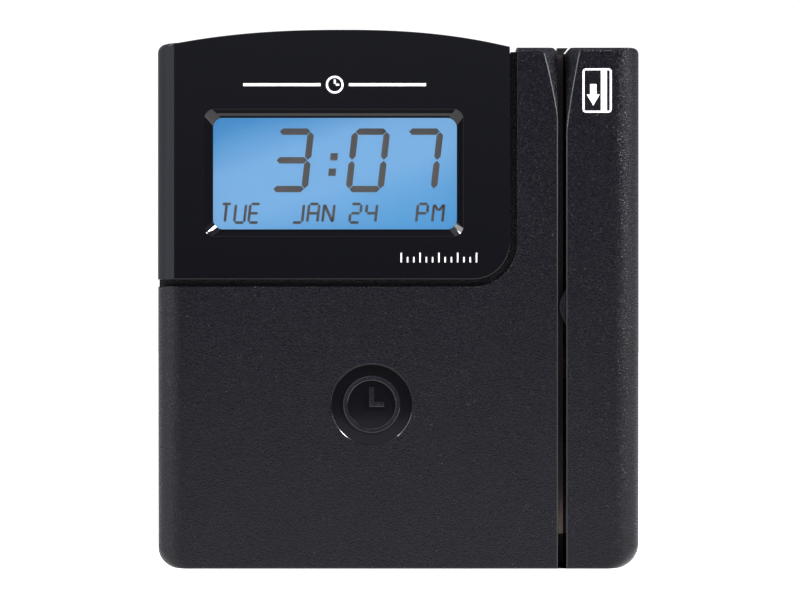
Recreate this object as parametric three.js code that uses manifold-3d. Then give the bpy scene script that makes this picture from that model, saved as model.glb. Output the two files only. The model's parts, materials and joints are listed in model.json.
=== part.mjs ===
// Swipe-card time clock, built as an assembly of separate pieces.
// Millimetres. +X is the viewer's right, -Y the front, +Z up.
// The origin is the centre of the footprint: Z = 0 is the flat underside, Y = +21 the wall.
import * as THREE from "three";
import { mergeVertices } from "three/addons/utils/BufferGeometryUtils.js";
import Module from "manifold-3d";

const wasm = await Module();
wasm.setup();

// ---------------------------------------------------------------- driving dimensions
const HALF_WIDTH = 75;
const FRONT = -21; // gloss bezel's front plane
const BACK = 21; // wall plane
const HOUSING_FRONT = FRONT + 0.4; // grained mouldings' front plane
const HOUSING_TOP = 162.3;
const WALL = 2.2; // of the front mouldings
const SEAM = 8; // where the front mouldings meet the rear cover
const GAP = 0.3; // between neighbouring pieces
const OVER = 1; // how far a cutter runs past the face that it cuts
const ROOT = 0.1; // how far a rib or post is sunk into its wall, so that they join

// Rounded edges of the grained mouldings.
const EDGE_RADIUS = 8;
const TOP_EDGE_RADIUS = 4;
const BOTTOM_LEFT_RADIUS = 6.8;
const BOTTOM_RIGHT_RADIUS = 7.8;
const TOP_RIGHT_RADIUS = 1.8;
const FOOT_CHAMFER = 0.8;

// The gloss bezel and the pocket in the housing that it sits in.
const BEZEL = { right: 34.7, bottom: 90.1, radius: 11.5, plate: 2.2, skirt: 2 };
const BEZEL_CORNER = { x: -69.2, y: -14.4 }; // slanted inner corner behind the rounded band
const BEZEL_TABS = { x: [-42, 8], z: [97.1, 151.7], halfWidth: 3, thick: 1.4, hook: 0.8 };
const POCKET = { right: 36.9, bottom: 87.9, radius: 13.7 };
const SEAT = { front: FRONT + 4, back: FRONT + 6, wall: 2, chamferWidth: 2.4, chamferDepth: 2.7 };
const SEAT_LEFT = -HALF_WIDTH + BEZEL.skirt + GAP;
const GROOVE_NOTCH = { top: 161, depth: 0.55 };
const BAND = { x: -69.8, from: 22, to: 75, steps: 5 }; // rounded side of the bezel, in degrees
const SHOULDER = { z: 163.3, radius: 2.8 };
const ARCH = { x: -17, z: 167.8, left: 4.3, leftSpan: 52.8, right: 5.3, rightSpan: 51.7, power: 2.35 };
const ARCH_END = -66; // where the inner outlines leave the arch for the shoulder
const ARCH_STEPS = 14;

// Display: the view through the bezel, and the stack behind it.
const VIEW = { left: -57.7, right: 18.2, bottom: 105.7, top: 140.4, radius: 3.1 };
const VIEW_BEVEL = { left: 2.6, right: 1.9, bottom: 2.1, top: 2.6 };
const LCD = { left: -60.8, right: 21.3, bottom: 102.9, top: 143.4, front: -15.8, back: -12.9 };
const WINDOW_MARGIN = 2.4; // of each piece past the glass cell
const OPENING_MARGIN = 0.8;
const GASKET = { margin: 0.4, lip: 0.8, thick: 0.9 };
const LIGHT_GUIDE = { left: -57.4, right: 20.8, bottom: 106, top: 143.1, front: -12.6, back: -9.8 };
const LAMP_STRIP = { left: -60.4, right: -58.6, bottom: 107, top: 142, front: -12.5, back: -9.9 };
const LAMPS = { count: 4, first: 111, pitch: 8.5, height: 3.5, reach: 0.7, front: -12.2, back: -10.2 };
const HOLDER = { margin: 3.2, radius: 1.5, floor: -9.5, back: -8.6 };
const HOLDER_PORT = { left: -52, right: 14, bottom: 112, top: 138 };
const ZEBRA = { left: -50, right: 10, bottom: 103.1, top: 105.3, front: -12.6, back: -8.6 };
const DISPLAY_BOARD = { left: -68.5, right: 29, bottom: 96, top: 150, front: -8.3, back: -6.7 };
const DISPLAY_SCREWS = [[-66.4, 98.2], [27, 98.2], [-66.4, 147.8], [27, 147.8]];
const RIBBON_WIRES = { left: -22, right: -4, thick: 0.4, y: -6.4, from: 99, knee: 93, bend: 82, end: 77 };

// Slot for the card, between the housing and the reader cover.
const SLOT = { left: 49.65, right: 52.25, floor: 3.6 };
const LEAD_IN = {
  left: { width: 4.7, end: 139 },
  right: { width: 4.4, end: 134 },
  power: 1.3,
  depth: 1.2, // depth of a facet for each millimetre of its width
  levels: 6,
  least: 0.02, // width at the foot, so that no ring is empty
};
const MOUTH_CHAMFER = 1.4;
const WEAR_STRIP = { left: 50.1, right: 51.8, bottom: 10.3, top: 160.8, thick: 0.5 };

const EMBLEM = { x: -8.3, z: 51.2, radius: 12.55, deep: 1.4, shallow: 0.4, sides: 40, backing: 1.2 };
const DIAL = { outer: 9, inner: 7.3, stroke: 0.8, minute: 5.4, hour: 4, foot: 1.7 };

// Main board, and what stands on its front and rear faces.
const BOARD = { left: -62, right: 38, bottom: 26, top: 84, front: 3.4, back: 5 };
const BOARD_SCREWS = [[-57, 31], [33, 31], [-57, 79], [33, 79]];
const FRONT_FACE = BOARD.front - GAP;
const REAR_FACE = BOARD.back + GAP;
const PROCESSOR = { left: -24, right: -10, bottom: 52, top: 66, tall: 1.8 };
const MEMORY = { left: -2, right: 8, bottom: 54, top: 60, tall: 1.6 };
const CRYSTAL = { left: -24, right: -13.5, bottom: 46, top: 49.8, tall: 3.5, radius: 1 };
const MAGNETICS = { left: -44, right: -28, bottom: 53, top: 63, tall: 5.7 };
const BUZZER = { x: -40, z: 66, radius: 6, tall: 8.5, hole: 1 };
const CELL = { x: 7, z: 66.5, radius: 10, thick: 3.2, floor: 1.3 };
const CELL_HOLDER = { left: -5, right: 19, bottom: 55.5, top: 77.5, tall: 4.9, slotRight: 4 };
const CAPACITORS = { x: 20, z: [38, 49], radius: 4, seal: 3.7, tall: 11, sealTall: 0.8 };
const READER_SOCKET = { left: 30, right: 37.4, bottom: 58, top: 70, tall: 8.2 };

// Rear cover, the bay in it where the cables plug in, and the sockets in the bay's roof.
const REAR_INSET = 1;
const REAR_WALL = 2;
const PLATE_FRONT = 18.9; // inner face of the rear plate
const RIB = { flareFoot: 1.1, rise: 0.7, foot: 0.6 };
const BAY = { left: -52, right: 16, top: 28, front: 10.1, wall: 1.8, foot: 0.5 };
const MOUTH = BAY.top + GAP; // lower faces of the sockets
const NETWORK = { left: -44, right: -28, back: 18.3, top: 49 };
const NETWORK_MOUTH = { left: -41.9, right: -30.1, front: 8.5, back: 15.2, deep: 13 };
const LATCH = { left: -39, right: -33, back: 16.8, deep: 9 };
const CONTACTS = { count: 8, first: -40.6, pitch: 1.27, width: 0.5, front: 8.4, back: 10, from: 3 };
const POWER = { left: -18, right: -9, back: 16.3, top: 42.5, x: -13.5, y: 11.6, bore: 3.2, pin: 1, deep: 10 };
const RESET = { x: 3, y: 13, radius: 1.8, hole: 2.2, tip: 26.8, flange: 3 };
const SWITCH = { left: 0, right: 6, back: 16.6, bottom: 33, top: 37.5, bore: 1.9, boreTop: 35.4 };
const PLUNGER = { radius: 1.5, bottom: 31.4, top: 34 };
const KEYHOLE = { x: 38.1, z: 128, head: 4.5, neck: 2.25, rise: 8 };
const VENTS = { count: 7, left: -52, pitch: 4, width: 2, bottom: 60, top: 78 };

// Card reader: the sprung head, and the board behind it.
const HEAD = { y: -5.2, z: 81.5, crown: 50.25, back: 59.6, width: 12, height: 13 };
const HEAD_FACE = { half: 3.6, drop: 1.1, shoulder: 2.6, steps: 8 };
const HEAD_WINDOW = { halfWidth: 6.6, halfHeight: 7.1 };
const HEAD_PLATE = { halfWidth: 4, halfHeight: 17.5, thick: 0.8, radius: 2, hole: 1.45 };
const HEAD_SCREWS = [HEAD.z - 14, HEAD.z + 14];
const HEAD_SPRING = { outer: 2, inner: 1.4, left: 61, right: 64.3 };
const HEAD_CABLE = { right: 66.6, front: 1.7, back: 2.7, halfHeight: 2.5 };
const READER_BOARD = { left: 68, right: 69.6, front: -12, back: 14, bottom: 56, top: 107 };
const READER_BOARD_SCREWS = { y: -8, z: [59.5, 103.5] };
const DECODER = { front: -6, back: 4, bottom: 86, top: 98, tall: 1.5 };
const READER_PLUG = { left: 60.2, front: 6, back: 13.5, bottom: 58, top: 70 };
const CABLE = { left: 37.7, right: 59.9, y: 9.8, thick: 0.9, bottom: 59, top: 69 };

// Posts and the screws that go into them: radii, then places along the screw.
const HOUSING_SCREWS = [[-64, 9.5], [41.5, 9.5], [41.5, 153.5], [-64, 155]];
const READER_SCREWS = [[63.5, 12], [63.5, 150]];
const CASE_SCREW = { post: 3.4, pilot: 1.6, pilotTip: -3, head: 2.8, shank: 1.3, tip: -1 };
const CASE_HEAD = { seat: 17.9, top: 19.9 };
const CASE_BOSS = { radius: 4.6, hole: 1.9, counterbore: 3.2, floor: 17.6 };
const BOARD_SCREW = { post: 2.4, pilot: 1.4, pilotTip: -6, head: 2.6, shank: 1.1, tip: -4 };
const DISPLAY_SCREW = { post: 2.2, pilot: 1.4, pilotTip: -13.5, head: 2.2, shank: 1.1, tip: -12.5 };
const HEAD_SCREW = { post: 2.6, pilot: 1.2, pilotTip: 55.4, head: 2.6, shank: 0.9, tip: 56 };
const HEAD_SCREW_HEAD = { seat: 64.6, top: 65.8 };
const READER_SCREW = { post: 2.4, pilot: 1.4, pilotTip: 72.4, head: 2.4, shank: 1.1, tip: 71.9 };
const SCREW_HEADS = { board: 1.7, display: 1.5, reader: 1.3 }; // heights
const SCREW_HOLES = { board: 1.6, display: 1.5, reader: 1.5 }; // radii in the boards
const RECESS = { deep: 0.6, half: 0.35, reach: 0.75 }; // cross in a screw's head

// ---------------------------------------------------------------- shape helpers
const clock = new THREE.Group();

// Points of a closed outline from its corners [u, v, radius].
function outline(corners) {
  const points = [];
  const sagitta = 0.06; // how far a chord may lie inside its arc
  corners.forEach(([u, v, radius = 0], i) => {
    const here = new THREE.Vector2(u, v);
    if (radius === 0) {
      points.push(here);
      return;
    }
    const before = corners[(i + corners.length - 1) % corners.length];
    const after = corners[(i + 1) % corners.length];
    const back = new THREE.Vector2(before[0], before[1]).sub(here).normalize();
    const ahead = new THREE.Vector2(after[0], after[1]).sub(here).normalize();
    const half = Math.acos(back.dot(ahead)) / 2;
    const centre = back.clone().add(ahead).normalize().multiplyScalar(radius / Math.sin(half)).add(here);
    const start = here.clone().addScaledVector(back, radius / Math.tan(half)).sub(centre);
    const turn = Math.PI - 2 * half;
    const side = Math.sign(ahead.cross(back));
    const steps = Math.max(2, Math.ceil(turn / (2 * Math.acos(1 - sagitta / Math.max(radius, 0.3)))));
    for (let k = 0; k <= steps; k++) {
      points.push(start.clone().rotateAround(new THREE.Vector2(), (side * turn * k) / steps).add(centre));
    }
  });
  return points;
}

// Corners of a rectangle grown by a margin on every side, with one radius at each corner.
function rectangle({ left, right, bottom, top }, margin = 0, radius = 0) {
  return [
    [left - margin, bottom - margin, radius], [right + margin, bottom - margin, radius],
    [right + margin, top + margin, radius], [left - margin, top + margin, radius],
  ];
}

function solid(geometry) {
  geometry.deleteAttribute("normal");
  geometry.deleteAttribute("uv");
  const merged = mergeVertices(geometry, 1e-4);
  return new wasm.Manifold(new wasm.Mesh({
    numProp: 3,
    vertProperties: new Float32Array(merged.attributes.position.array),
    triVerts: new Uint32Array(merged.index.array),
  }));
}

function extruded(points, length) {
  return new THREE.ExtrudeGeometry(new THREE.Shape(points), { depth: length, bevelEnabled: false });
}

// An outline in X and Z, made solid from y0 to y1.
function prismY(corners, y0, y1) {
  return solid(extruded(outline(corners), y1 - y0).rotateX(Math.PI / 2).translate(0, y1, 0));
}

// An outline in Y and Z, made solid from x0 to x1.
function prismX(corners, x0, x1) {
  const turn = new THREE.Matrix4().makeBasis(
    new THREE.Vector3(0, 1, 0), new THREE.Vector3(0, 0, 1), new THREE.Vector3(1, 0, 0));
  return solid(extruded(outline(corners), x1 - x0).applyMatrix4(turn).translate(x0, 0, 0));
}

// An outline in X and Y, made solid from z0 to z1.
function prismZ(corners, z0, z1) {
  return solid(extruded(outline(corners), z1 - z0).translate(0, 0, z0));
}

// A box between two places along each axis, in either order.
function box(x0, x1, y0, y1, z0, z1) {
  const geometry = new THREE.BoxGeometry(Math.abs(x1 - x0), Math.abs(y1 - y0), Math.abs(z1 - z0));
  return solid(geometry.translate((x0 + x1) / 2, (y0 + y1) / 2, (z0 + z1) / 2));
}

// A box with a rectangle in X and Z, from y0 to y1.
function slab({ left, right, bottom, top }, y0, y1) {
  return box(left, right, y0, y1, bottom, top);
}

function rodY(x, z, radius, y0, y1, sides = 16) {
  const geometry = new THREE.CylinderGeometry(radius, radius, Math.abs(y1 - y0), sides);
  return solid(geometry.translate(x, (y0 + y1) / 2, z));
}

function rodX(y, z, radius, x0, x1, sides = 16) {
  const geometry = new THREE.CylinderGeometry(radius, radius, Math.abs(x1 - x0), sides);
  return solid(geometry.rotateZ(Math.PI / 2).translate((x0 + x1) / 2, y, z));
}

function rodZ(x, y, radius, z0, z1, sides = 16) {
  const geometry = new THREE.CylinderGeometry(radius, radius, Math.abs(z1 - z0), sides);
  return solid(geometry.rotateX(Math.PI / 2).translate(x, y, (z0 + z1) / 2));
}

// A convex solid through rings of equal point count, given as arrays of [x, y, z].
function loft(rings) {
  const count = rings[0].length;
  const last = (rings.length - 1) * count;
  const faces = [];
  for (let ring = 0; ring < rings.length - 1; ring++) {
    for (let i = 0; i < count; i++) {
      const a = ring * count + i;
      const b = ring * count + ((i + 1) % count);
      faces.push(a, a + count, b + count, a, b + count, b);
    }
  }
  for (let i = 1; i < count - 1; i++) {
    faces.push(0, i, i + 1, last, last + i + 1, last + i);
  }
  const geometry = new THREE.BufferGeometry();
  geometry.setAttribute("position", new THREE.BufferAttribute(new Float32Array(rings.flat(2)), 3));
  geometry.setIndex(faces);
  return solid(geometry);
}

function union(shapes) {
  return shapes.reduce((whole, shape) => whole.add(shape));
}

function minus(shape, cutters) {
  return cutters.reduce((left, cutter) => left.subtract(cutter), shape);
}

// A count of evenly spaced pieces, made from each one's number.
function row(count, make) {
  return Array.from({ length: count }, (_, i) => make(i));
}

function place(name, shape, look) {
  const { vertProperties, triVerts } = shape.getMesh();
  const geometry = new THREE.BufferGeometry();
  geometry.setAttribute("position", new THREE.BufferAttribute(vertProperties, 3));
  geometry.setIndex(new THREE.BufferAttribute(triVerts, 1));
  geometry.computeVertexNormals();
  const mesh = new THREE.Mesh(geometry, new THREE.MeshStandardMaterial(look));
  mesh.name = name;
  clock.add(mesh);
}

// ---------------------------------------------------------------- materials
const GRAINED = { color: 0x29282e, roughness: 0.55, metalness: 0 };
const GLOSS = { color: 0x111117, roughness: 0.08, metalness: 0 };
const CLEAR = { color: 0xdfe8ee, roughness: 0.03, metalness: 0 };
const LCD_BLUE = { color: 0x64a5da, roughness: 0.2, metalness: 0 };
const DIFFUSER = { color: 0xf2f4f5, roughness: 0.4, metalness: 0 };
const FOAM = { color: 0x18181a, roughness: 0.9, metalness: 0 };
const SILICONE = { color: 0xc9a9a4, roughness: 0.6, metalness: 0 };
const FRAME_BLACK = { color: 0x1d1d20, roughness: 0.5, metalness: 0 };
const LAMINATE = { color: 0x1f5a35, roughness: 0.45, metalness: 0 };
const EPOXY = { color: 0x17171a, roughness: 0.5, metalness: 0 };
const STEEL = { color: 0xb4b6b8, roughness: 0.3, metalness: 1 };
const BRONZE = { color: 0x8d5f44, roughness: 0.35, metalness: 1 };
const CONNECTOR = { color: 0xe6e1d3, roughness: 0.5, metalness: 0 };
const RIBBON = { color: 0xc98a3a, roughness: 0.45, metalness: 0 };
const SLEEVE = { color: 0x243a6b, roughness: 0.35, metalness: 0 };
const BUTTON = { color: 0xb3261e, roughness: 0.4, metalness: 0 };

// ---------------------------------------------------------------- shared outlines
// Height of the bezel's arched top.
function archHeight(x) {
  const left = x < ARCH.x;
  const drop = left ? ARCH.left : ARCH.right;
  const span = left ? ARCH.leftSpan : ARCH.rightSpan;
  return ARCH.z - drop * Math.abs((x - ARCH.x) / span) ** ARCH.power;
}

// Corners along the arch from right to left, lowered by an inset.
function archCorners(right, left, inset) {
  return row(ARCH_STEPS + 1, (i) => {
    const x = right + ((left - right) * i) / ARCH_STEPS;
    return [x, archHeight(x) - inset];
  });
}

// Plan of the grained mouldings: upright front edges rounded where they meet the sides.
function planCorners(left, right, leftRadius, rightRadius) {
  const front = HOUSING_FRONT;
  return [[left, front, leftRadius], [right, front, rightRadius], [right, SEAM], [left, SEAM]];
}

// Side view of the grained mouldings: rounded top front edge, small chamfer at the bottom.
function sideCorners() {
  return [
    [HOUSING_FRONT + FOOT_CHAMFER, 0], [SEAM, 0], [SEAM, HOUSING_TOP],
    [HOUSING_FRONT, HOUSING_TOP, TOP_EDGE_RADIUS], [HOUSING_FRONT, FOOT_CHAMFER],
  ];
}

// The wedge removed from one side of the slot's mouth so that a card finds its way in.
function leadIn(wall, side, { width, end }) {
  const beyond = 0.4; // how far the wedge stands out past the surfaces it cuts
  const outside = HOUSING_FRONT - beyond * LEAD_IN.depth;
  const rings = row(LEAD_IN.levels + 1, (i) => {
    const t = i / LEAD_IN.levels;
    const reach = Math.max(width * t ** LEAD_IN.power, LEAD_IN.least);
    const z = end + (HOUSING_TOP - end) * t + (t === 1 ? OVER : 0);
    const edge = [wall + side * (reach + beyond), outside, z];
    const corner = [wall - side * beyond, outside, z];
    const inner = [wall - side * beyond, HOUSING_FRONT + (reach + beyond) * LEAD_IN.depth, z];
    return side < 0 ? [edge, corner, inner] : [inner, corner, edge];
  });
  return loft(rings.reverse());
}

// The 45 degree chamfer at the top end of a slot wall.
function mouthChamfer(wall, side) {
  const c = MOUTH_CHAMFER;
  const corners = [
    [wall + side * c, HOUSING_TOP], [wall, HOUSING_TOP - c], [wall - side, HOUSING_TOP - c - 1],
    [wall - side, HOUSING_TOP + OVER], [wall + side * (c + 1), HOUSING_TOP + OVER],
  ];
  return prismY(side < 0 ? corners : corners.reverse(), HOUSING_FRONT - OVER, SEAM + OVER);
}

// A post along Y, reaching back from a wall, with a blind pilot hole.
function postY(x, z, { post, pilot, pilotTip }, from, to) {
  return rodY(x, z, post, from, to).subtract(rodY(x, z, pilot, pilotTip, to + OVER, 12));
}

// The same along X, from its foot on a wall to its face.
function postX(y, z, { post, pilot, pilotTip }, foot, face) {
  const outward = Math.sign(face - foot);
  return rodX(y, z, post, foot, face).subtract(rodX(y, z, pilot, pilotTip, face + outward, 12));
}

// A screw along Y, its head at the back with a cross recess.
function screwY(x, z, { head, shank, tip }, seat, top) {
  const long = head * RECESS.reach;
  return union([rodY(x, z, head, seat, top, 14), rodY(x, z, shank, tip, seat + ROOT, 8)])
    .subtract(box(x - long, x + long, top - RECESS.deep, top + OVER, z - RECESS.half, z + RECESS.half))
    .subtract(box(x - RECESS.half, x + RECESS.half, top - RECESS.deep, top + OVER, z - long, z + long));
}

// A slotted screw along X: its head's top, its underside and its tip are places in X.
function screwX(y, z, { head, shank, tip }, seat, top) {
  const inward = Math.sign(tip - top);
  const long = head * RECESS.reach;
  const floor = top + RECESS.deep * inward;
  return union([rodX(y, z, head, top, seat, 14), rodX(y, z, shank, seat - ROOT * inward, tip, 8)])
    .subtract(box(top - inward, floor, y - long, y + long, z - RECESS.half, z + RECESS.half));
}

// ---------------------------------------------------------------- front housing
// Outline of the housing's front face: full width below the pocket, a column right of it.
function housingFace() {
  return [
    [-HALF_WIDTH, 0, BOTTOM_LEFT_RADIUS], [SLOT.left, 0], [SLOT.left, HOUSING_TOP],
    [POCKET.right, HOUSING_TOP], [POCKET.right, POCKET.bottom, POCKET.radius],
    [-HALF_WIDTH, POCKET.bottom],
  ];
}

function housingColumn() {
  return prismY(housingFace(), HOUSING_FRONT, SEAM)
    .intersect(prismZ(planCorners(-HALF_WIDTH, SLOT.left + OVER, EDGE_RADIUS, 0), 0, HOUSING_TOP))
    .intersect(prismX(sideCorners(), -HALF_WIDTH, SLOT.left + OVER));
}

// The sunken panel and rim that the bezel's skirt goes round.
function bezelSeat() {
  const { front, chamferWidth, chamferDepth } = SEAT;
  const [lowest, right] = [POCKET.bottom - 8, POCKET.right + 8]; // buried in the column
  return prismY([
    [SEAT_LEFT, lowest], [right, lowest], [right, HOUSING_TOP - 3.3], [BEZEL.right, HOUSING_TOP - 2.3],
    ...archCorners(BEZEL.right - 1, ARCH_END, BEZEL.skirt + GAP),
    [SEAT_LEFT, SHOULDER.z - BEZEL.skirt - GAP, 1],
  ], front, SEAM).intersect(prismZ([
    [SEAT_LEFT, front + chamferDepth], [SEAT_LEFT + chamferWidth, front], [right + OVER, front],
    [right + OVER, SEAM], [SEAT_LEFT, SEAM],
  ], 0, ARCH.z));
}

// Floors of the groove round the bezel, where it runs out at the top and at the left side.
function grooveEnds() {
  return [
    box(BEZEL.right + GAP, POCKET.right + OVER, SEAT.front, SEAM, 150, GROOVE_NOTCH.top),
    box(-HALF_WIDTH + GROOVE_NOTCH.depth, -60, SEAT.front, SEAM, 80, BEZEL.bottom - GAP),
  ];
}

function lowerHollow() {
  const inner = HALF_WIDTH - WALL;
  const front = HOUSING_FRONT + WALL;
  return prismY([
    [-inner, WALL, BOTTOM_LEFT_RADIUS - WALL], [SLOT.left - WALL, WALL],
    [SLOT.left - WALL, HOUSING_TOP - WALL], [POCKET.right + WALL, HOUSING_TOP - WALL],
    [POCKET.right + WALL, POCKET.bottom - WALL, POCKET.radius + WALL], [-inner, POCKET.bottom - WALL],
  ], front, SEAM + OVER).intersect(prismZ([
    [-inner, front, EDGE_RADIUS - WALL], [SLOT.left, front], [SLOT.left, SEAM + OVER], [-inner, SEAM + OVER],
  ], 0, HOUSING_TOP));
}

function seatHollow() {
  const inset = BEZEL.skirt + GAP + SEAT.wall;
  const [left, lowest] = [-HALF_WIDTH + inset, POCKET.bottom - 18];
  return prismY([
    [left, lowest], [SLOT.left - WALL, lowest], [SLOT.left - WALL, HOUSING_TOP - 4.5],
    [BEZEL.right - 2, HOUSING_TOP - 4.3],
    ...archCorners(BEZEL.right - 4, ARCH_END, inset), [left, SHOULDER.z - inset, 1],
  ], SEAT.back, SEAM + OVER);
}

function housingPosts() {
  const lowerFace = HOUSING_FRONT + WALL - ROOT;
  const seatFace = SEAT.back - ROOT;
  const behindSeat = ([x, z]) => z > POCKET.bottom && x < POCKET.right;
  return [
    ...HOUSING_SCREWS.map((at) =>
      postY(...at, CASE_SCREW, behindSeat(at) ? seatFace : lowerFace, SEAM - GAP)),
    ...BOARD_SCREWS.map((at) => postY(...at, BOARD_SCREW, lowerFace, BOARD.front - GAP)),
    ...DISPLAY_SCREWS.map((at) => postY(...at, DISPLAY_SCREW, seatFace, DISPLAY_BOARD.front - GAP)),
    rodY(EMBLEM.x, EMBLEM.z, EMBLEM.radius + 2, lowerFace, lowerFace + EMBLEM.backing, 24),
  ];
}

// The round recess, deepest at its top, as a solid to cut away.
function emblemRecess() {
  const { x, z, radius, deep, shallow, sides } = EMBLEM;
  const ring = (y, slope) => row(sides, (i) => {
    const angle = (2 * Math.PI * i) / sides;
    const up = Math.sin(angle);
    return [x + radius * Math.cos(angle), y + slope * up, z + radius * up];
  });
  return loft([
    ring(HOUSING_FRONT - OVER, 0), ring(HOUSING_FRONT + (deep + shallow) / 2, (deep - shallow) / 2),
  ]);
}

// A clock dial raised in the recess: a rim with an hour hand and a minute hand.
function emblemGlyph() {
  const { x, z } = EMBLEM;
  const { outer, inner, stroke, minute, hour } = DIAL;
  const top = HOUSING_FRONT;
  const foot = top + DIAL.foot;
  return union([
    rodY(x, z, outer, top, foot, 32).subtract(rodY(x, z, inner, top - OVER, foot + OVER, 32)),
    box(x - stroke, x + stroke, top, foot, z - stroke, z + minute),
    box(x - stroke, x + hour, top, foot, z - stroke, z + stroke),
  ]);
}

function tabPlaces() {
  return BEZEL_TABS.z.flatMap((z) => BEZEL_TABS.x.map((x) => [x, z]));
}

function tabSlots() {
  const { halfWidth } = BEZEL_TABS;
  return tabPlaces().map(([x, z]) =>
    box(x - halfWidth - 0.4, x + halfWidth + 0.4, SEAT.front - OVER, SEAT.back + OVER, z - 1.6, z + 1.2));
}

function frontHousing() {
  const walls = union([housingColumn(), bezelSeat(), ...grooveEnds()]);
  return minus(union([minus(walls, [lowerHollow(), seatHollow()]), ...housingPosts()]), [
    prismY(rectangle(LCD, OPENING_MARGIN, 0.5), SEAT.front - OVER, SEAT.back + OVER),
    ...tabSlots(),
    leadIn(SLOT.left, -1, LEAD_IN.left),
    mouthChamfer(SLOT.left, -1),
    emblemRecess(),
  ]).add(emblemGlyph());
}

// ---------------------------------------------------------------- display bezel
// Points [x, y] round the bezel's left side, from the side wall to the front face.
function bandCorners() {
  const radians = THREE.MathUtils.degToRad;
  const radius = (HALF_WIDTH + BAND.x) / (Math.sin(radians(BAND.to)) - Math.sin(radians(BAND.from)));
  const centreX = BAND.x + radius * Math.sin(radians(BAND.from));
  const centreY = FRONT + radius * Math.cos(radians(BAND.from));
  return row(BAND.steps + 1, (i) => {
    const angle = radians(BAND.to + ((BAND.from - BAND.to) * i) / BAND.steps);
    return [centreX - radius * Math.sin(angle), centreY - radius * Math.cos(angle)];
  });
}

function bezelBody() {
  const { right, bottom, radius } = BEZEL;
  return prismY([
    [-HALF_WIDTH, bottom], [right, bottom, radius],
    ...archCorners(right, BAND.x, 0), [-HALF_WIDTH, SHOULDER.z, SHOULDER.radius],
  ], FRONT, SEAM).intersect(prismZ([
    [-HALF_WIDTH, SEAM], ...bandCorners(), [right, FRONT], [right, SEAM],
  ], bottom - OVER, ARCH.z + OVER));
}

function bezelHollow() {
  const { skirt, plate, right, bottom, radius } = BEZEL;
  const left = -HALF_WIDTH + skirt;
  return prismY([
    [left, bottom + skirt], [right - skirt, bottom + skirt, radius - skirt],
    ...archCorners(right - skirt, ARCH_END, skirt), [left, SHOULDER.z - skirt, 0.8],
  ], FRONT + plate, SEAM + OVER).intersect(prismZ([
    [left, BEZEL_CORNER.y], [BEZEL_CORNER.x, FRONT + plate], [right, FRONT + plate],
    [right, SEAM + OVER], [left, SEAM + OVER],
  ], 0, ARCH.z));
}

// The skirt is cut back to the seat along its lower edge and its right side.
function skirtCuts() {
  const { skirt, right, bottom, radius } = BEZEL;
  const back = SEAT.front - GAP;
  const inner = right - skirt - 6;
  return [
    box(-HALF_WIDTH + skirt, right + OVER, back, SEAM + OVER, bottom - OVER, bottom + radius + 4),
    prismY([
      [inner, bottom + 5], [right + OVER, bottom + 5], [right + OVER, archHeight(right) - skirt],
      [inner, archHeight(inner) - skirt],
    ], back, SEAM + OVER),
  ];
}

// The flared opening in front of the display, as a solid to cut away.
function viewOpening() {
  const { plate } = BEZEL;
  const { left, right, bottom, top, radius } = VIEW;
  const ring = (y, grow) => outline([
    [left - grow * VIEW_BEVEL.left, bottom - grow * VIEW_BEVEL.bottom, radius],
    [right + grow * VIEW_BEVEL.right, bottom - grow * VIEW_BEVEL.bottom, radius],
    [right + grow * VIEW_BEVEL.right, top + grow * VIEW_BEVEL.top, radius],
    [left - grow * VIEW_BEVEL.left, top + grow * VIEW_BEVEL.top, radius],
  ]).map((point) => [point.x, y, point.y]);
  return loft([ring(FRONT - plate, 2), ring(FRONT + 2 * plate, -1)]);
}

function bezelTab([x, z]) {
  const { halfWidth, thick, hook } = BEZEL_TABS;
  const end = SEAT.back + 1.4;
  const half = thick / 2;
  return union([
    box(x - halfWidth, x + halfWidth, FRONT + BEZEL.plate - ROOT, end, z - half, z + half),
    box(x - halfWidth, x + halfWidth, SEAT.back + GAP, end, z - half - hook, z + half),
  ]);
}

function displayBezel() {
  return union([
    minus(bezelBody(), [bezelHollow(), ...skirtCuts(), viewOpening()]),
    ...tabPlaces().map(bezelTab),
  ]);
}

// ---------------------------------------------------------------- reader cover
function readerBlock() {
  const left = SLOT.right;
  return prismY([
    [left, 0], [HALF_WIDTH, 0, BOTTOM_RIGHT_RADIUS], [HALF_WIDTH, HOUSING_TOP, TOP_RIGHT_RADIUS],
    [left, HOUSING_TOP],
  ], HOUSING_FRONT, SEAM)
    .intersect(prismZ(planCorners(left - OVER, HALF_WIDTH, 0, EDGE_RADIUS), 0, HOUSING_TOP))
    .intersect(prismX(sideCorners(), left - OVER, HALF_WIDTH));
}

function readerHollow() {
  const left = SLOT.right + WALL;
  const right = HALF_WIDTH - WALL;
  const front = HOUSING_FRONT + WALL;
  return prismY([
    [left, WALL], [right, WALL, BOTTOM_RIGHT_RADIUS - WALL], [right, HOUSING_TOP - WALL],
    [left, HOUSING_TOP - WALL],
  ], front, SEAM + OVER).intersect(prismZ([
    [left, front], [right, front, EDGE_RADIUS - WALL], [right, SEAM + OVER], [left, SEAM + OVER],
  ], 0, HOUSING_TOP));
}

// Posts that hold the cover, the head's screws and the reader board.
function readerPosts() {
  const face = HOUSING_FRONT + WALL - ROOT;
  const headFoot = SLOT.right + WALL - ROOT;
  const boardFoot = HALF_WIDTH - WALL + ROOT;
  const boardFace = READER_BOARD.right + GAP;
  return [
    ...READER_SCREWS.map((at) => postY(...at, CASE_SCREW, face, SEAM - GAP)),
    ...HEAD_SCREWS.map((z) => postX(HEAD.y, z, HEAD_SCREW, headFoot, HEAD.back)),
    ...READER_BOARD_SCREWS.z.map((z) =>
      postX(READER_BOARD_SCREWS.y, z, READER_SCREW, boardFoot, boardFace)),
  ];
}

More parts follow.
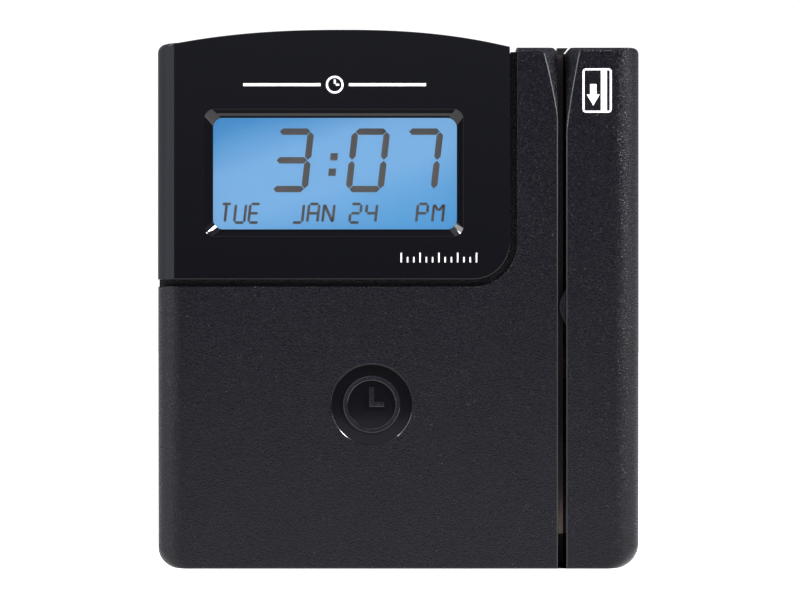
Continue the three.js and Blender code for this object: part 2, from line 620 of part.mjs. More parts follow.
function readerCover() {
  const { halfWidth, halfHeight } = HEAD_WINDOW;
  const headWindow = box(SLOT.right - OVER, SLOT.right + WALL + OVER, HEAD.y - halfWidth, HEAD.y + halfWidth,
    HEAD.z - halfHeight, HEAD.z + halfHeight);
  return minus(union([readerBlock().subtract(readerHollow()), ...readerPosts()]), [
    headWindow, leadIn(SLOT.right, 1, LEAD_IN.right), mouthChamfer(SLOT.right, 1),
  ]);
}

// ---------------------------------------------------------------- rear cover
// Outline of the rear cover, following the front mouldings at an inset.
function rearTrace(inset) {
  const side = HALF_WIDTH - inset;
  const bottom = inset - REAR_INSET;
  return [
    [-side, bottom, BOTTOM_LEFT_RADIUS - inset], [side, bottom, BOTTOM_RIGHT_RADIUS - inset],
    [side, HOUSING_TOP - inset, 1.2], [BEZEL.right + 1, HOUSING_TOP - inset],
    ...archCorners(BEZEL.right - 2, ARCH_END, inset), [-side, SHOULDER.z - inset, 2],
  ];
}

// The rib that forms the card slot's floor, flared at its top end.
function slotRib() {
  const left = SLOT.left + GAP;
  const right = SLOT.right - GAP;
  const flare = MOUTH_CHAMFER / 2;
  const [neck, top] = [HOUSING_TOP - RIB.flareFoot, HOUSING_TOP + RIB.rise];
  return prismY([
    [left, RIB.foot], [right, RIB.foot], [right, neck], [right + flare, top], [left - flare, top],
    [left, neck],
  ], SLOT.floor + WEAR_STRIP.thick + GAP, BACK);
}

function keyhole(side) {
  const { x, z, head, neck, rise } = KEYHOLE;
  const [from, to] = [PLATE_FRONT - OVER, BACK + OVER];
  return union([
    rodY(side * x, z, head, from, to, 24),
    box(side * x - neck, side * x + neck, from, to, z, z + rise),
    rodY(side * x, z + rise, neck, from, to, 16),
  ]);
}

function vents() {
  const { count, left, pitch, width, bottom, top } = VENTS;
  return row(count, (i) =>
    box(left + pitch * i, left + pitch * i + width, PLATE_FRONT - OVER, BACK + OVER, bottom, top));
}

// Holes in the bay's roof for the two sockets and the reset button.
function bayPorts() {
  const [from, to] = [BAY.top - ROOT, BAY.top + BAY.wall + OVER];
  return [
    box(NETWORK.left - GAP, NETWORK.right + GAP, SEAM - OVER, NETWORK.back + GAP, from, to),
    box(POWER.left - GAP, POWER.right + GAP, SEAM - OVER, POWER.back + 0.4, from, to),
    rodZ(RESET.x, RESET.y, RESET.hole, BAY.top - OVER, to),
  ];
}

function rearCover() {
  const { left, right, top, front, wall, foot } = BAY;
  const screws = [...HOUSING_SCREWS, ...READER_SCREWS];
  const tray = prismY(rearTrace(REAR_INSET), SEAM + GAP, BACK)
    .subtract(prismY(rearTrace(REAR_INSET + REAR_WALL), SEAM - OVER, PLATE_FRONT));
  const bosses = screws.map(([x, z]) => rodY(x, z, CASE_BOSS.radius, SEAM + GAP, PLATE_FRONT + ROOT, 20));
  const bay = box(left - wall, right + wall, SEAM + GAP, PLATE_FRONT + ROOT, foot, top + wall);
  const cablePass = box(SLOT.left - OVER, SLOT.right + OVER, SEAM + GAP + 0.2, 12.4,
    CABLE.bottom - OVER, CABLE.top + OVER);
  return minus(union([tray, slotRib(), ...bosses, bay]), [
    box(left, right, front, BACK + OVER, -OVER, top),
    ...bayPorts(),
    cablePass,
    ...screws.map(([x, z]) => rodY(x, z, CASE_BOSS.hole, SEAM - OVER, BACK, 12)),
    ...screws.map(([x, z]) => rodY(x, z, CASE_BOSS.counterbore, CASE_BOSS.floor, BACK + OVER, 20)),
    keyhole(-1),
    keyhole(1),
    ...vents(),
  ]);
}

function slotWearStrip() {
  return slab(WEAR_STRIP, SLOT.floor, SLOT.floor + WEAR_STRIP.thick);
}

// ---------------------------------------------------------------- display
function displayWindow() {
  return prismY(rectangle(LCD, WINDOW_MARGIN, 1), FRONT + BEZEL.plate + GAP, SEAT.front - GAP);
}

function displayGasket() {
  const back = SEAT.front + GASKET.thick;
  return prismY(rectangle(LCD, GASKET.margin), SEAT.front, back)
    .subtract(prismY(rectangle(VIEW, GASKET.lip), SEAT.front - OVER, back + OVER));
}

// Strip of lamps at the left edge of the light guide.
function backlightStrip() {
  const { count, first, pitch, height, reach, front, back } = LAMPS;
  const right = LAMP_STRIP.right;
  const lamps = row(count, (i) =>
    box(right - ROOT, right + reach, front, back, first + pitch * i, first + pitch * i + height));
  return union([slab(LAMP_STRIP, LAMP_STRIP.front, LAMP_STRIP.back), ...lamps]);
}

// Frame that carries the glass, the light guide and the rubber connector.
function lcdHolder() {
  const { margin, radius, floor, back } = HOLDER;
  return minus(prismY(rectangle(LCD, margin, radius), SEAT.back + GAP, back), [
    prismY(rectangle(LCD, GAP), SEAT.back, floor),
    slab(HOLDER_PORT, floor - OVER, back + OVER),
    prismY(rectangle(ZEBRA, GAP), floor - OVER, back + OVER),
  ]);
}

function boardWithHoles(board, screws, hole) {
  return minus(slab(board, board.front, board.back),
    screws.map(([x, z]) => rodY(x, z, hole, board.front - OVER, board.back + OVER, 12)));
}

function displayRibbon() {
  const { left, right, thick, y, from, knee, bend, end } = RIBBON_WIRES;
  const lower = BOARD.front - GAP - thick;
  const path = [[y, from], [y, knee], [lower, bend], [lower, end]];
  const corners = [...path, ...path.map(([y, z]) => [y + thick, z]).reverse()];
  return prismX(corners.reverse(), left, right);
}

// ---------------------------------------------------------------- main board
function onFront(part) {
  return slab(part, FRONT_FACE - part.tall, FRONT_FACE);
}

function onRear(part) {
  return slab(part, REAR_FACE, REAR_FACE + part.tall);
}

function clockCrystal() {
  const { left, right, bottom, top, tall, radius } = CRYSTAL;
  return prismX([
    [FRONT_FACE - tall, bottom, radius], [FRONT_FACE, bottom], [FRONT_FACE, top],
    [FRONT_FACE - tall, top, radius],
  ], left, right);
}

function buzzer() {
  const { x, z, radius, tall, hole } = BUZZER;
  const face = FRONT_FACE - tall;
  return rodY(x, z, radius, face, FRONT_FACE, 20).subtract(rodY(x, z, hole, face - OVER, FRONT_FACE - 3, 8));
}

function cellHolder() {
  const { left, slotRight, tall } = CELL_HOLDER;
  const floor = REAR_FACE + CELL.floor;
  return minus(onRear(CELL_HOLDER), [
    rodY(CELL.x, CELL.z, CELL.radius + 0.5, floor, REAR_FACE + tall + OVER, 32),
    box(left - OVER, slotRight, floor, REAR_FACE + tall + OVER, CELL.z - 4.5, CELL.z + 4.5),
  ]);
}

function backupCell() {
  const floor = REAR_FACE + CELL.floor + GAP;
  return rodY(CELL.x, CELL.z, CELL.radius, floor, floor + CELL.thick, 32);
}

function capacitor(z) {
  const { x, radius, seal, tall, sealTall } = CAPACITORS;
  const can = FRONT_FACE - sealTall;
  return union([
    rodY(x, z, radius, FRONT_FACE - tall, can, 18), rodY(x, z, seal, can - ROOT, FRONT_FACE, 18),
  ]);
}

// Eight-way network socket with its mouth facing down into the cable bay.
function networkJack() {
  const { left, right, back, top } = NETWORK;
  const { count, first, pitch, width, front, from } = CONTACTS;
  const roof = MOUTH + NETWORK_MOUTH.deep;
  const contacts = row(count, (i) =>
    box(first + pitch * i, first + pitch * i + width, front, CONTACTS.back, MOUTH + from, roof + ROOT));
  const body = box(left, right, REAR_FACE, back, MOUTH, top);
  const inside = box(NETWORK_MOUTH.left, NETWORK_MOUTH.right, NETWORK_MOUTH.front, NETWORK_MOUTH.back,
    MOUTH - OVER, roof);
  const latchNotch = box(LATCH.left, LATCH.right, NETWORK_MOUTH.back - ROOT, LATCH.back,
    MOUTH - OVER, MOUTH + LATCH.deep);
  return union([minus(body, [inside, latchNotch]), ...contacts]);
}

// Barrel socket for the power adapter, facing down into the cable bay.
function powerJack() {
  const { left, right, back, top, x, y, bore, pin, deep } = POWER;
  return box(left, right, REAR_FACE, back, MOUTH, top)
    .subtract(rodZ(x, y, bore, MOUTH - OVER, MOUTH + deep, 24))
    .add(rodZ(x, y, pin, MOUTH + 1, MOUTH + deep + ROOT, 12));
}

function resetSwitch() {
  const { left, right, back, bottom, top, bore, boreTop } = SWITCH;
  return box(left, right, REAR_FACE, back, bottom, top)
    .subtract(rodZ(RESET.x, RESET.y, bore, bottom - OVER, boreTop));
}

// Cap with a flange that keeps it inside the roof of the cable bay.
function resetButton() {
  const flangeFoot = BAY.top + BAY.wall + GAP;
  return union([
    rodZ(RESET.x, RESET.y, RESET.radius, RESET.tip, flangeFoot + ROOT),
    rodZ(RESET.x, RESET.y, RESET.flange, flangeFoot, PLUNGER.bottom - GAP),
  ]);
}

function switchPlunger() {
  return rodZ(RESET.x, RESET.y, PLUNGER.radius, PLUNGER.bottom, PLUNGER.top);
}

// ---------------------------------------------------------------- card reader
// Magnetic head: a can whose face is crowned along the card's travel.
function readHead() {
  const { y, z, crown, back, width, height } = HEAD;
  const { half, drop, shoulder, steps } = HEAD_FACE;
  const edge = height / 2;
  const face = row(steps + 1, (i) => {
    const t = (2 * i) / steps - 1;
    return [crown + drop * t * t, z - t * half];
  });
  return prismY([
    [back, z - edge], [back, z + edge], [crown + shoulder, z + edge], ...face, [crown + shoulder, z - edge],
  ], y - width / 2, y + width / 2);
}

// Steel plate that carries the head on two shoulder screws.
function headPlate() {
  const { y, z, back } = HEAD;
  const { halfWidth, halfHeight, thick, radius, hole } = HEAD_PLATE;
  const left = back + GAP;
  const right = left + thick;
  const cableHole = box(left - OVER, right + OVER, y + 1, y + 3.4, z - 3, z + 3);
  return minus(prismX([
    [y - halfWidth, z - halfHeight, radius], [y + halfWidth, z - halfHeight, radius],
    [y + halfWidth, z + halfHeight, radius], [y - halfWidth, z + halfHeight, radius],
  ], left, right), [
    ...HEAD_SCREWS.map((at) => rodX(y, at, hole, left - OVER, right + OVER)),
    cableHole,
  ]);
}

function headSpring(z) {
  const { outer, inner, left, right } = HEAD_SPRING;
  return rodX(HEAD.y, z, outer, left, right).subtract(rodX(HEAD.y, z, inner, left - OVER, right + OVER));
}

function headCable() {
  const { right, front, back, halfHeight } = HEAD_CABLE;
  return box(HEAD.back + GAP, right, HEAD.y + front, HEAD.y + back, HEAD.z - halfHeight, HEAD.z + halfHeight);
}

function readerBoard() {
  const { left, right, front, back, bottom, top } = READER_BOARD;
  return minus(box(left, right, front, back, bottom, top), READER_BOARD_SCREWS.z.map((z) =>
    rodX(READER_BOARD_SCREWS.y, z, SCREW_HOLES.reader, left - OVER, right + OVER, 12)));
}

function decoderChip() {
  const left = READER_BOARD.right + GAP;
  return box(left, left + DECODER.tall, DECODER.front, DECODER.back, DECODER.bottom, DECODER.top);
}

function readerPlug() {
  const { left, front, back, bottom, top } = READER_PLUG;
  return box(left, READER_BOARD.left - GAP, front, back, bottom, top);
}

// ---------------------------------------------------------------- assembly
place("front_housing", frontHousing(), GRAINED);
place("reader_cover", readerCover(), GRAINED);
place("display_bezel", displayBezel(), GLOSS);
place("rear_cover", rearCover(), GRAINED);
place("slot_wear_strip", slotWearStrip(), BRONZE);

place("display_window", displayWindow(), CLEAR);
place("display_gasket", displayGasket(), FOAM);
place("lcd_glass", slab(LCD, LCD.front, LCD.back), LCD_BLUE);
place("light_guide", slab(LIGHT_GUIDE, LIGHT_GUIDE.front, LIGHT_GUIDE.back), DIFFUSER);
place("backlight_strip", backlightStrip(), CONNECTOR);
place("lcd_holder", lcdHolder(), FRAME_BLACK);
place("zebra_strip", slab(ZEBRA, ZEBRA.front, ZEBRA.back), SILICONE);
place("display_board", boardWithHoles(DISPLAY_BOARD, DISPLAY_SCREWS, SCREW_HOLES.display), LAMINATE);
place("display_ribbon", displayRibbon(), RIBBON);

place("main_board", boardWithHoles(BOARD, BOARD_SCREWS, SCREW_HOLES.board), LAMINATE);
place("processor_chip", onFront(PROCESSOR), EPOXY);
place("memory_chip", onFront(MEMORY), EPOXY);
place("clock_crystal", clockCrystal(), STEEL);
place("network_magnetics", onRear(MAGNETICS), EPOXY);
place("buzzer", buzzer(), EPOXY);
place("cell_holder", cellHolder(), EPOXY);
place("backup_cell", backupCell(), STEEL);
place("network_jack", networkJack(), EPOXY);
place("power_jack", powerJack(), EPOXY);
place("reset_switch", resetSwitch(), EPOXY);
place("reset_button", resetButton(), BUTTON);
place("switch_plunger", switchPlunger(), EPOXY);
place("reader_connector", onRear(READER_SOCKET), CONNECTOR);

place("read_head", readHead(), STEEL);
place("head_plate", headPlate(), STEEL);
place("head_cable", headCable(), RIBBON);
place("reader_board", readerBoard(), LAMINATE);
place("decoder_chip", decoderChip(), EPOXY);
place("reader_board_connector", readerPlug(), CONNECTOR);
place("reader_cable", slab(CABLE, CABLE.y, CABLE.y + CABLE.thick), RIBBON);

CAPACITORS.z.forEach((z, i) => {
  place(`capacitor_${i + 1}`, capacitor(z), SLEEVE);
});
HEAD_SCREWS.forEach((z, i) => {
  place(`head_spring_${i + 1}`, headSpring(z), STEEL);
  const { seat, top } = HEAD_SCREW_HEAD;
  place(`head_screw_${i + 1}`, screwX(HEAD.y, z, HEAD_SCREW, seat, top), STEEL);
});
READER_BOARD_SCREWS.z.forEach((z, i) => {
  const seat = READER_BOARD.left - GAP;
  const screw = screwX(READER_BOARD_SCREWS.y, z, READER_SCREW, seat, seat - SCREW_HEADS.reader);
  place(`reader_board_screw_${i + 1}`, screw, STEEL);
});
DISPLAY_SCREWS.forEach(([x, z], i) => {
  const seat = DISPLAY_BOARD.back + GAP;
  place(`display_screw_${i + 1}`, screwY(x, z, DISPLAY_SCREW, seat, seat + SCREW_HEADS.display), STEEL);
});
BOARD_SCREWS.forEach(([x, z], i) => {
  const screw = screwY(x, z, BOARD_SCREW, REAR_FACE, REAR_FACE + SCREW_HEADS.board);
  place(`board_screw_${i + 1}`, screw, STEEL);
});
[...HOUSING_SCREWS, ...READER_SCREWS].forEach(([x, z], i) => {
  place(`case_screw_${i + 1}`, screwY(x, z, CASE_SCREW, CASE_HEAD.seat, CASE_HEAD.top), STEEL);
});

export default clock;
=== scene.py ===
"""Looks of the swipe-card time clock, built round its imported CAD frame.

Lengths in this file are millimetres in the frame's own axes (+X right, -Y front, +Z up);
the mesh builders turn them into metres.
"""
import json
import math
from collections import defaultdict

import bmesh
import bpy
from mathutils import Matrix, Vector

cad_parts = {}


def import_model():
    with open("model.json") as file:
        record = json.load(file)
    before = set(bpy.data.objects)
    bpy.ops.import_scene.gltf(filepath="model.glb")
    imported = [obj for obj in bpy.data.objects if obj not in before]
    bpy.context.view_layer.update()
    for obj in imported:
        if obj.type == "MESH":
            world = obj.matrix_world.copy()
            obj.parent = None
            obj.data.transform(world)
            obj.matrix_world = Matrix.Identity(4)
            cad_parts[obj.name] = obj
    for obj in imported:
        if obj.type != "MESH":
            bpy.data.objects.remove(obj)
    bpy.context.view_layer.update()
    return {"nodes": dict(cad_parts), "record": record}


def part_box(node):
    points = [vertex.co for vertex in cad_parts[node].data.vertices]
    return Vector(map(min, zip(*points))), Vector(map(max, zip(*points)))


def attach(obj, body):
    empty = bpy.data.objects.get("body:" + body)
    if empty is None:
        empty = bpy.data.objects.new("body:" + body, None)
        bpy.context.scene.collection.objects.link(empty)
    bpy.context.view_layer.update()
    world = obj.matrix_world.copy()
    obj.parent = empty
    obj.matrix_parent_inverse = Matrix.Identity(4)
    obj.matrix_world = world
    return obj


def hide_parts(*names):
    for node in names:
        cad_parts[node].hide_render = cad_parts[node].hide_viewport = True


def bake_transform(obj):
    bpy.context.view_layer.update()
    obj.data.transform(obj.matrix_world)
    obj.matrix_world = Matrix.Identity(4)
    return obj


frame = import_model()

MM = 0.001
SCENE = bpy.context.scene


# ---------------------------------------------------------------- places taken from the frame
class Box:
    """The box of a CAD node in millimetres."""

    def __init__(self, node):
        low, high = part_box(node)
        self.left, self.front, self.bottom = (round(v / MM, 3) for v in low)
        self.right, self.back, self.top = (round(v / MM, 3) for v in high)


HOUSING = Box("front_housing")
READER = Box("reader_cover")
BEZEL = Box("display_bezel")
REAR = Box("rear_cover")
LCD = Box("lcd_glass")
STRIP = Box("slot_wear_strip")
HEAD = Box("read_head")
NETWORK = Box("network_jack")
POWER = Box("power_jack")

WALL = 2.2
GAP = 0.3                        # between mouldings that don't touch
SEAM = HOUSING.back              # where the front mouldings meet the rear cover
TOP = READER.top                 # of the grained mouldings
SLOT_LEFT = HOUSING.right
SLOT_RIGHT = READER.left

EDGE_RADIUS = 8.0                # upright front edges
TOP_EDGE_RADIUS = 1.6            # top front edges; the frame's own are rounder
FOOT_RADIUS = 0.8                # bottom front edges
CREASE_RADIUS = 0.35             # every other visible edge of the grained mouldings
INNER_RADIUS = 0.3               # edges inside the case
SHARP = 0.01
HOLE_EDGE = 0.25                 # softened mouths of the holes in the back
BOTTOM_LEFT_RADIUS = 6.8         # corners, as seen from the front
BOTTOM_RIGHT_RADIUS = 7.8
TOP_RIGHT_RADIUS = 1.8

GROOVE = 2.2                     # width of the groove round the bezel
GROOVE_TOP = (150, 161)          # the groove is closed between these heights at its upper end
GROOVE_SIDE = 87.6               # and above this height at its left end
BEZEL_CORNER = 11.5
BEZEL_PLATE = 2.2                # thickness of the bezel's front
BEZEL_SKIRT = 2.0                # and of its sides
BEZEL_EDGE = 0.3
PRINT_DEPTH = 0.02               # the plate lies this far behind the marks printed on it
PRINT_THICK = 0.03
SEAT_FRONT = BEZEL.front + 4.0
BAND_X = -69.8                   # crisp line where the bezel's side begins to round
BAND_FROM, BAND_TO = math.radians(22), math.radians(75)
BAND_RADIUS = (BAND_X - BEZEL.left) / (math.sin(BAND_TO) - math.sin(BAND_FROM))
SHOULDER_Z, SHOULDER_RADIUS = 163.3, 2.8
ARCH_LEFT, INNER_ARCH_LEFT = -68.4, -66

VIEW = {"left": -57.7, "right": 18.2, "bottom": 105.7, "top": 140.4, "radius": 3.1}
VIEW_BEVEL = {"left": 2.6, "right": 1.9, "bottom": 2.1, "top": 2.6}
LINE_GROWTH = (0.55, 0.24)       # the polished line above the display, as parts of the flare's width

LEAD_LEFT = {"width": 4.7, "end": 139.0}
LEAD_RIGHT = {"width": 4.4, "end": 134.0}
LEAD_POWER, LEAD_DEPTH = 1.3, 1.2        # how a lead-in widens with height, and its depth per width
MOUTH_CHAMFER = 1.4

EMBLEM_X, EMBLEM_Z, EMBLEM_RADIUS = -8.3, 51.2, 12.55
EMBLEM_DEEP, EMBLEM_SHALLOW = 1.4, 0.4
EMBLEM_FOOT = 1.7                # depth at which the raised dial ends inside its backing
ROUND_SIDES, HOLE_SIDES = 96, 40

REAR_EDGE = 0.9
PLATE_INNER = REAR.back - 2.1    # inner face of the rear cover's plate
CASE_SCREWS = [(-64, 9.5), (41.5, 9.5), (41.5, 153.5), (-64, 155), (63.5, 12), (63.5, 150)]
SCREW_HOLE = {"shank": 1.9, "head": 3.2, "floor": 17.6}
POST_RADIUS = 4.6
BAY = {"left": -52, "right": 16, "top": 28, "front": 10.1, "wall": 1.8}
KEYHOLE = {"x": 38.1, "z": 128, "head": 4.5, "neck": 2.25, "rise": 8}
VENT_LEFTS, VENT_WIDTH, VENT_Z, VENT_RADIUS = range(-52, -27, 4), 2, (60, 78), 0.9

SLANT = math.tan(math.radians(6.5))      # lean of the display's characters
DIGIT = {"width": 11.9, "height": 19.9, "thick": 2.0, "base": 117.3}
LETTER = {"width": 3.15, "height": 5.8, "thick": 0.84, "base": 107.85}

DARK = (0.0034, 0.0029, 0.0052)          # the emblem's own black
DULL = (0.004, 0.004, 0.005)             # surfaces deep in the slot's shadow


def arch_height(x):
    """Height of the bezel's arched top."""
    middle, power = -17.0, 2.35
    drop, span = (4.3, 52.8) if x < middle else (5.3, 51.7)
    return BEZEL.top - drop * abs((x - middle) / span) ** power


def arch(right, left, inset=0.0, steps=56):
    """Corners along the arch from right to left, lowered by an inset."""
    xs = [right + (left - right) * i / steps for i in range(steps + 1)]
    return [(x, arch_height(x) - inset, 0) for x in xs]


# ---------------------------------------------------------------- mesh building
def new_object(name, verts, faces):
    mesh = bpy.data.meshes.new(name)
    mesh.from_pydata([[c * MM for c in v] for v in verts], [], faces)
    mesh.validate()
    obj = bpy.data.objects.new(name, mesh)
    SCENE.collection.objects.link(obj)
    return obj


def rectangle(x0, x1, z0, z1, radius=0):
    """The corners of a rectangle, anticlockwise."""
    return [(x0, z0, radius), (x1, z0, radius), (x1, z1, radius), (x0, z1, radius)]


def directions(sides):
    """The cosine and sine of equal steps round a circle."""
    return [(math.cos(a), math.sin(a)) for a in (2 * math.pi * i / sides for i in range(sides))]


def arc_steps(radius):
    """Steps in a quarter turn that keep each chord within a small distance of the arc."""
    slack = 0.004
    return max(3, math.ceil((math.pi / 2) / (2 * math.acos(1 - slack / max(radius, 0.01)))))


def ring(corners, insets=None):
    """Points [u, v] of a closed anticlockwise outline of corners (u, v, radius).

    Edge i runs from corner i to the next one and is moved inward by insets[i].
    """
    count = len(corners)
    insets = insets or [0.0] * count
    points = []
    for i, (u, v, radius) in enumerate(corners):
        here = Vector((u, v))
        into = (here - Vector(corners[i - 1][:2])).normalized()
        out = (Vector(corners[(i + 1) % count][:2]) - here).normalized()
        n0, n1 = Vector((-into.y, into.x)), Vector((-out.y, out.x))
        e0, e1 = insets[i - 1], insets[i]
        c = n0.dot(n1)
        if c > 0.9995:
            moved = here + (n0 + n1).normalized() * e0
        else:
            moved = here + (n0 * (e0 - c * e1) + n1 * (e1 - c * e0)) / (1 - c * c)
        if radius == 0:
            points.append(moved)
            continue
        convex = into.x * out.y - into.y * out.x > 0
        change = (e0 + e1) / 2
        fillet = max(radius - change, 0.06) if convex else radius + change
        half = (math.pi - math.acos(max(-1, min(1, into.dot(out))))) / 2
        centre = moved + (out - into).normalized() * fillet / math.sin(half)
        start = moved - into * fillet / math.tan(half) - centre
        turn = (math.pi - 2 * half) * (1 if convex else -1)
        steps = arc_steps(radius)
        for k in range(steps + 1):
            a = turn * k / steps
            spin = Vector((start.x * math.cos(a) - start.y * math.sin(a),
                           start.x * math.sin(a) + start.y * math.cos(a)))
            points.append(centre + spin)
    return points


def loft(name, rings):
    """A closed solid through rings of equal point count, each a list of [x, y, z]."""
    count = len(rings[0])
    verts = [p for r in rings for p in r]
    faces = [list(range(count)), list(range(len(verts) - 1, len(verts) - count - 1, -1))]
    for k in range(len(rings) - 1):
        for i in range(count):
            a, b = k * count + i, k * count + (i + 1) % count
            faces.append([a, a + count, b + count, b])
    obj = new_object(name, verts, faces)
    face_outward(obj)
    return obj


def face_outward(obj):
    bm = bmesh.new()
    bm.from_mesh(obj.data)
    bmesh.ops.recalc_face_normals(bm, faces=bm.faces)
    bm.to_mesh(obj.data)
    bm.free()


def rounded(radius):
    """How far an edge rounded to this radius lies inside its outline, by depth from the front."""
    def inset(depth):
        if depth >= radius:
            return 0.0
        return radius - math.sqrt(radius ** 2 - (radius - depth) ** 2)
    step = 15 if radius < 2 else 6
    inset.depths = [radius * (1 - math.cos(math.radians(a))) for a in range(0, 91, step)]
    return inset


def banded(depth):
    """The bezel's left side: a crisp line, then an arc towards the side wall."""
    reach = BAND_RADIUS * (math.cos(BAND_FROM) - math.cos(BAND_TO))
    if depth >= reach:
        return 0.0
    angle = math.acos(math.cos(BAND_FROM) - depth / BAND_RADIUS)
    return BAND_X - BEZEL.left - BAND_RADIUS * (math.sin(angle) - math.sin(BAND_FROM))


banded.depths = [BAND_RADIUS * (math.cos(BAND_FROM) - math.cos(BAND_FROM + (BAND_TO - BAND_FROM) * i / 14))
                 for i in range(15)]


def block(name, corners, edges, front, back):
    """A block from y = front to y = back whose front edges follow each edge's own profile."""
    depths = sorted({round(d, 3) for edge in edges for d in edge.depths} | {abs(back - front)})
    depths = [d for i, d in enumerate(depths) if i == 0 or d - depths[i - 1] > 0.004]
    side = 1 if back > front else -1
    rings = []
    for depth in depths:
        insets = [edge(depth) for edge in edges]
        rings.append([(p.x, front + side * depth, p.y) for p in ring(corners, insets)])
    return loft(name, rings)


def prism(name, corners, front, back):
    return loft(name, [[(p.x, y, p.y) for p in ring(corners)] for y in (front, back)])


def cuboid(name, x0, x1, y0, y1, z0, z1):
    return prism(name, rectangle(x0, x1, z0, z1), y0, y1)


def lathe(name, profile, centre, axis="Y", sides=64):
    """A closed profile of (radius, height) turned round an axis through centre."""
    rings = []
    for radius, height in profile:
        points = []
        for c, s in directions(sides):
            u, v = radius * c, radius * s
            offset = (u, height, v) if axis == "Y" else (u, v, height)
            points.append([middle + o for middle, o in zip(centre, offset)])
        rings.append(points)
    return loft(name, rings)


def joined(name, objects):
    """One object holding the meshes of several, without changing them."""
    bm = bmesh.new()
    for obj in objects:
        bm.from_mesh(obj.data)
        bpy.data.objects.remove(obj)
    mesh = bpy.data.meshes.new(name)
    bm.to_mesh(mesh)
    bm.free()
    whole = bpy.data.objects.new(name, mesh)
    SCENE.collection.objects.link(whole)
    return whole


def carve(target, tools, operation="DIFFERENCE"):
    """Cuts the tools out of the target, or adds them to it, and removes them."""
    for tool in tools:
        modifier = target.modifiers.new("carve", "BOOLEAN")
        modifier.operation = operation
        modifier.solver = "MANIFOLD"
        modifier.object = tool
        graph = bpy.context.evaluated_depsgraph_get()
        mesh = bpy.data.meshes.new_from_object(target.evaluated_get(graph))
        target.modifiers.clear()
        target.data = mesh
        bpy.data.objects.remove(tool)
    return target


def unite(target, tools):
    return carve(target, tools, "UNION")


def shade(obj, crease=18):
    """Smooth shading in which each flat region keeps its own normal up to its edges."""
    mesh = obj.data
    bm = bmesh.new()
    bm.from_mesh(mesh)
    bmesh.ops.remove_doubles(bm, verts=bm.verts, dist=1e-6)
    bmesh.ops.dissolve_degenerate(bm, edges=bm.edges, dist=1e-7)
    bm.normal_update()
    bm.faces.index_update()
    region = {}
    area = defaultdict(float)
    flat = math.radians(0.05)
    for seed in bm.faces:
        if seed.index in region:
            continue
        region[seed.index] = seed.index
        stack = [seed]
        while stack:
            face = stack.pop()
            area[seed.index] += face.calc_area()
            for edge in face.edges:
                for other in edge.link_faces:
                    if other.index not in region and edge.calc_face_angle(4) < flat:
                        region[other.index] = seed.index
                        stack.append(other)
    limit = math.radians(crease)
    soft = {e.index for e in bm.edges if len(e.link_faces) == 2 and e.calc_face_angle(4) < limit}
    loop_normal = {}
    for vert in bm.verts:
        todo = set(vert.link_faces)
        while todo:
            fan = [todo.pop()]
            for face in fan:
                for edge in face.edges:
                    if edge.index in soft and vert in edge.verts:
                        for other in edge.link_faces:
                            if other in todo:
                                todo.discard(other)
                                fan.append(other)
            normal = Vector()
            for root in {region[f.index] for f in fan}:
                normal += next(f.normal for f in fan if region[f.index] == root) * area[root]
            for face in fan:
                loop_normal[face.index, vert.index] = normal.normalized()
    for face in bm.faces:
        face.smooth = True
    bm.to_mesh(mesh)
    bm.free()
    mesh.normals_split_custom_set([
        loop_normal[polygon.index, mesh.loops[i].vertex_index]
        for polygon in mesh.polygons for i in polygon.loop_indices
    ])
    return obj


# ---------------------------------------------------------------- materials
def add_node(owner, kind, **settings):
    """A new node of a material or world.

    A lower-case setting is one of the node's properties. Any other is an input, which is
    linked to another node's output or set to a value.
    """
    made = owner.node_tree.nodes.new(kind)
    for key, term in settings.items():
        if key.islower():
            setattr(made, key, term)
        else:
            connect(owner, made.inputs[key.replace("_", " ")], term)
    return made


def connect(owner, socket, term):
    if isinstance(term, bpy.types.NodeSocket):
        owner.node_tree.links.new(term, socket)
    else:
        socket.default_value = term


def calculated(owner, operation, *terms):
    """The outcome of a Math node."""
    made = add_node(owner, "ShaderNodeMath", operation=operation)
    for socket, term in zip(made.inputs, terms):
        connect(owner, socket, term)
    return made.outputs["Value"]


def mapped(owner, source, low, high, to_low=0.0, to_high=1.0, **settings):
    """A source's range from low to high, turned into another range."""
    return add_node(owner, "ShaderNodeMapRange", Value=source, From_Min=low, From_Max=high,
                    To_Min=to_low, To_Max=to_high, **settings).outputs["Result"]


def mixed(owner, share, first, second, blend_type="MIX"):
    return add_node(owner, "ShaderNodeMix", data_type="RGBA", blend_type=blend_type,
                    Factor=share, A=first, B=second).outputs["Result"]


def ramp(owner, source, stops):
    """A colour ramp; each stop is a position and either a colour or one grey level in a list."""
    made = add_node(owner, "ShaderNodeValToRGB", Fac=source)
    elements = made.color_ramp.elements
    while len(elements) < len(stops):
        elements.new(0.5)
    for element, (position, color) in zip(elements, stops):
        element.position = position
        element.color = (*color, 1) if len(color) == 3 else (color[0],) * 3 + (1,)
    return made.outputs["Color"]


def feed(made, **inputs):
    """Sets or links the inputs of a material's shader."""
    for key, term in inputs.items():
        connect(made, made.node_tree.nodes["Principled BSDF"].inputs[key.replace("_", " ")], term)


def material(name, color, roughness, **inputs):
    """A Principled material with its constants on the shader's own sockets."""
    made = bpy.data.materials.new(name)
    made.use_nodes = True
    feed(made, Base_Color=(*color, 1), Roughness=roughness, **inputs)
    return made


def in_frame(made):
    """Where a point is in the frame's own space."""
    return add_node(made, "ShaderNodeTexCoord").outputs["Object"]


def height_share(made, low, high, **settings):
    """How far up a point is from one height of the frame to another."""
    split = add_node(made, "ShaderNodeSeparateXYZ", Vector=in_frame(made))
    return mapped(made, split.outputs["Z"], low * MM, high * MM, **settings)


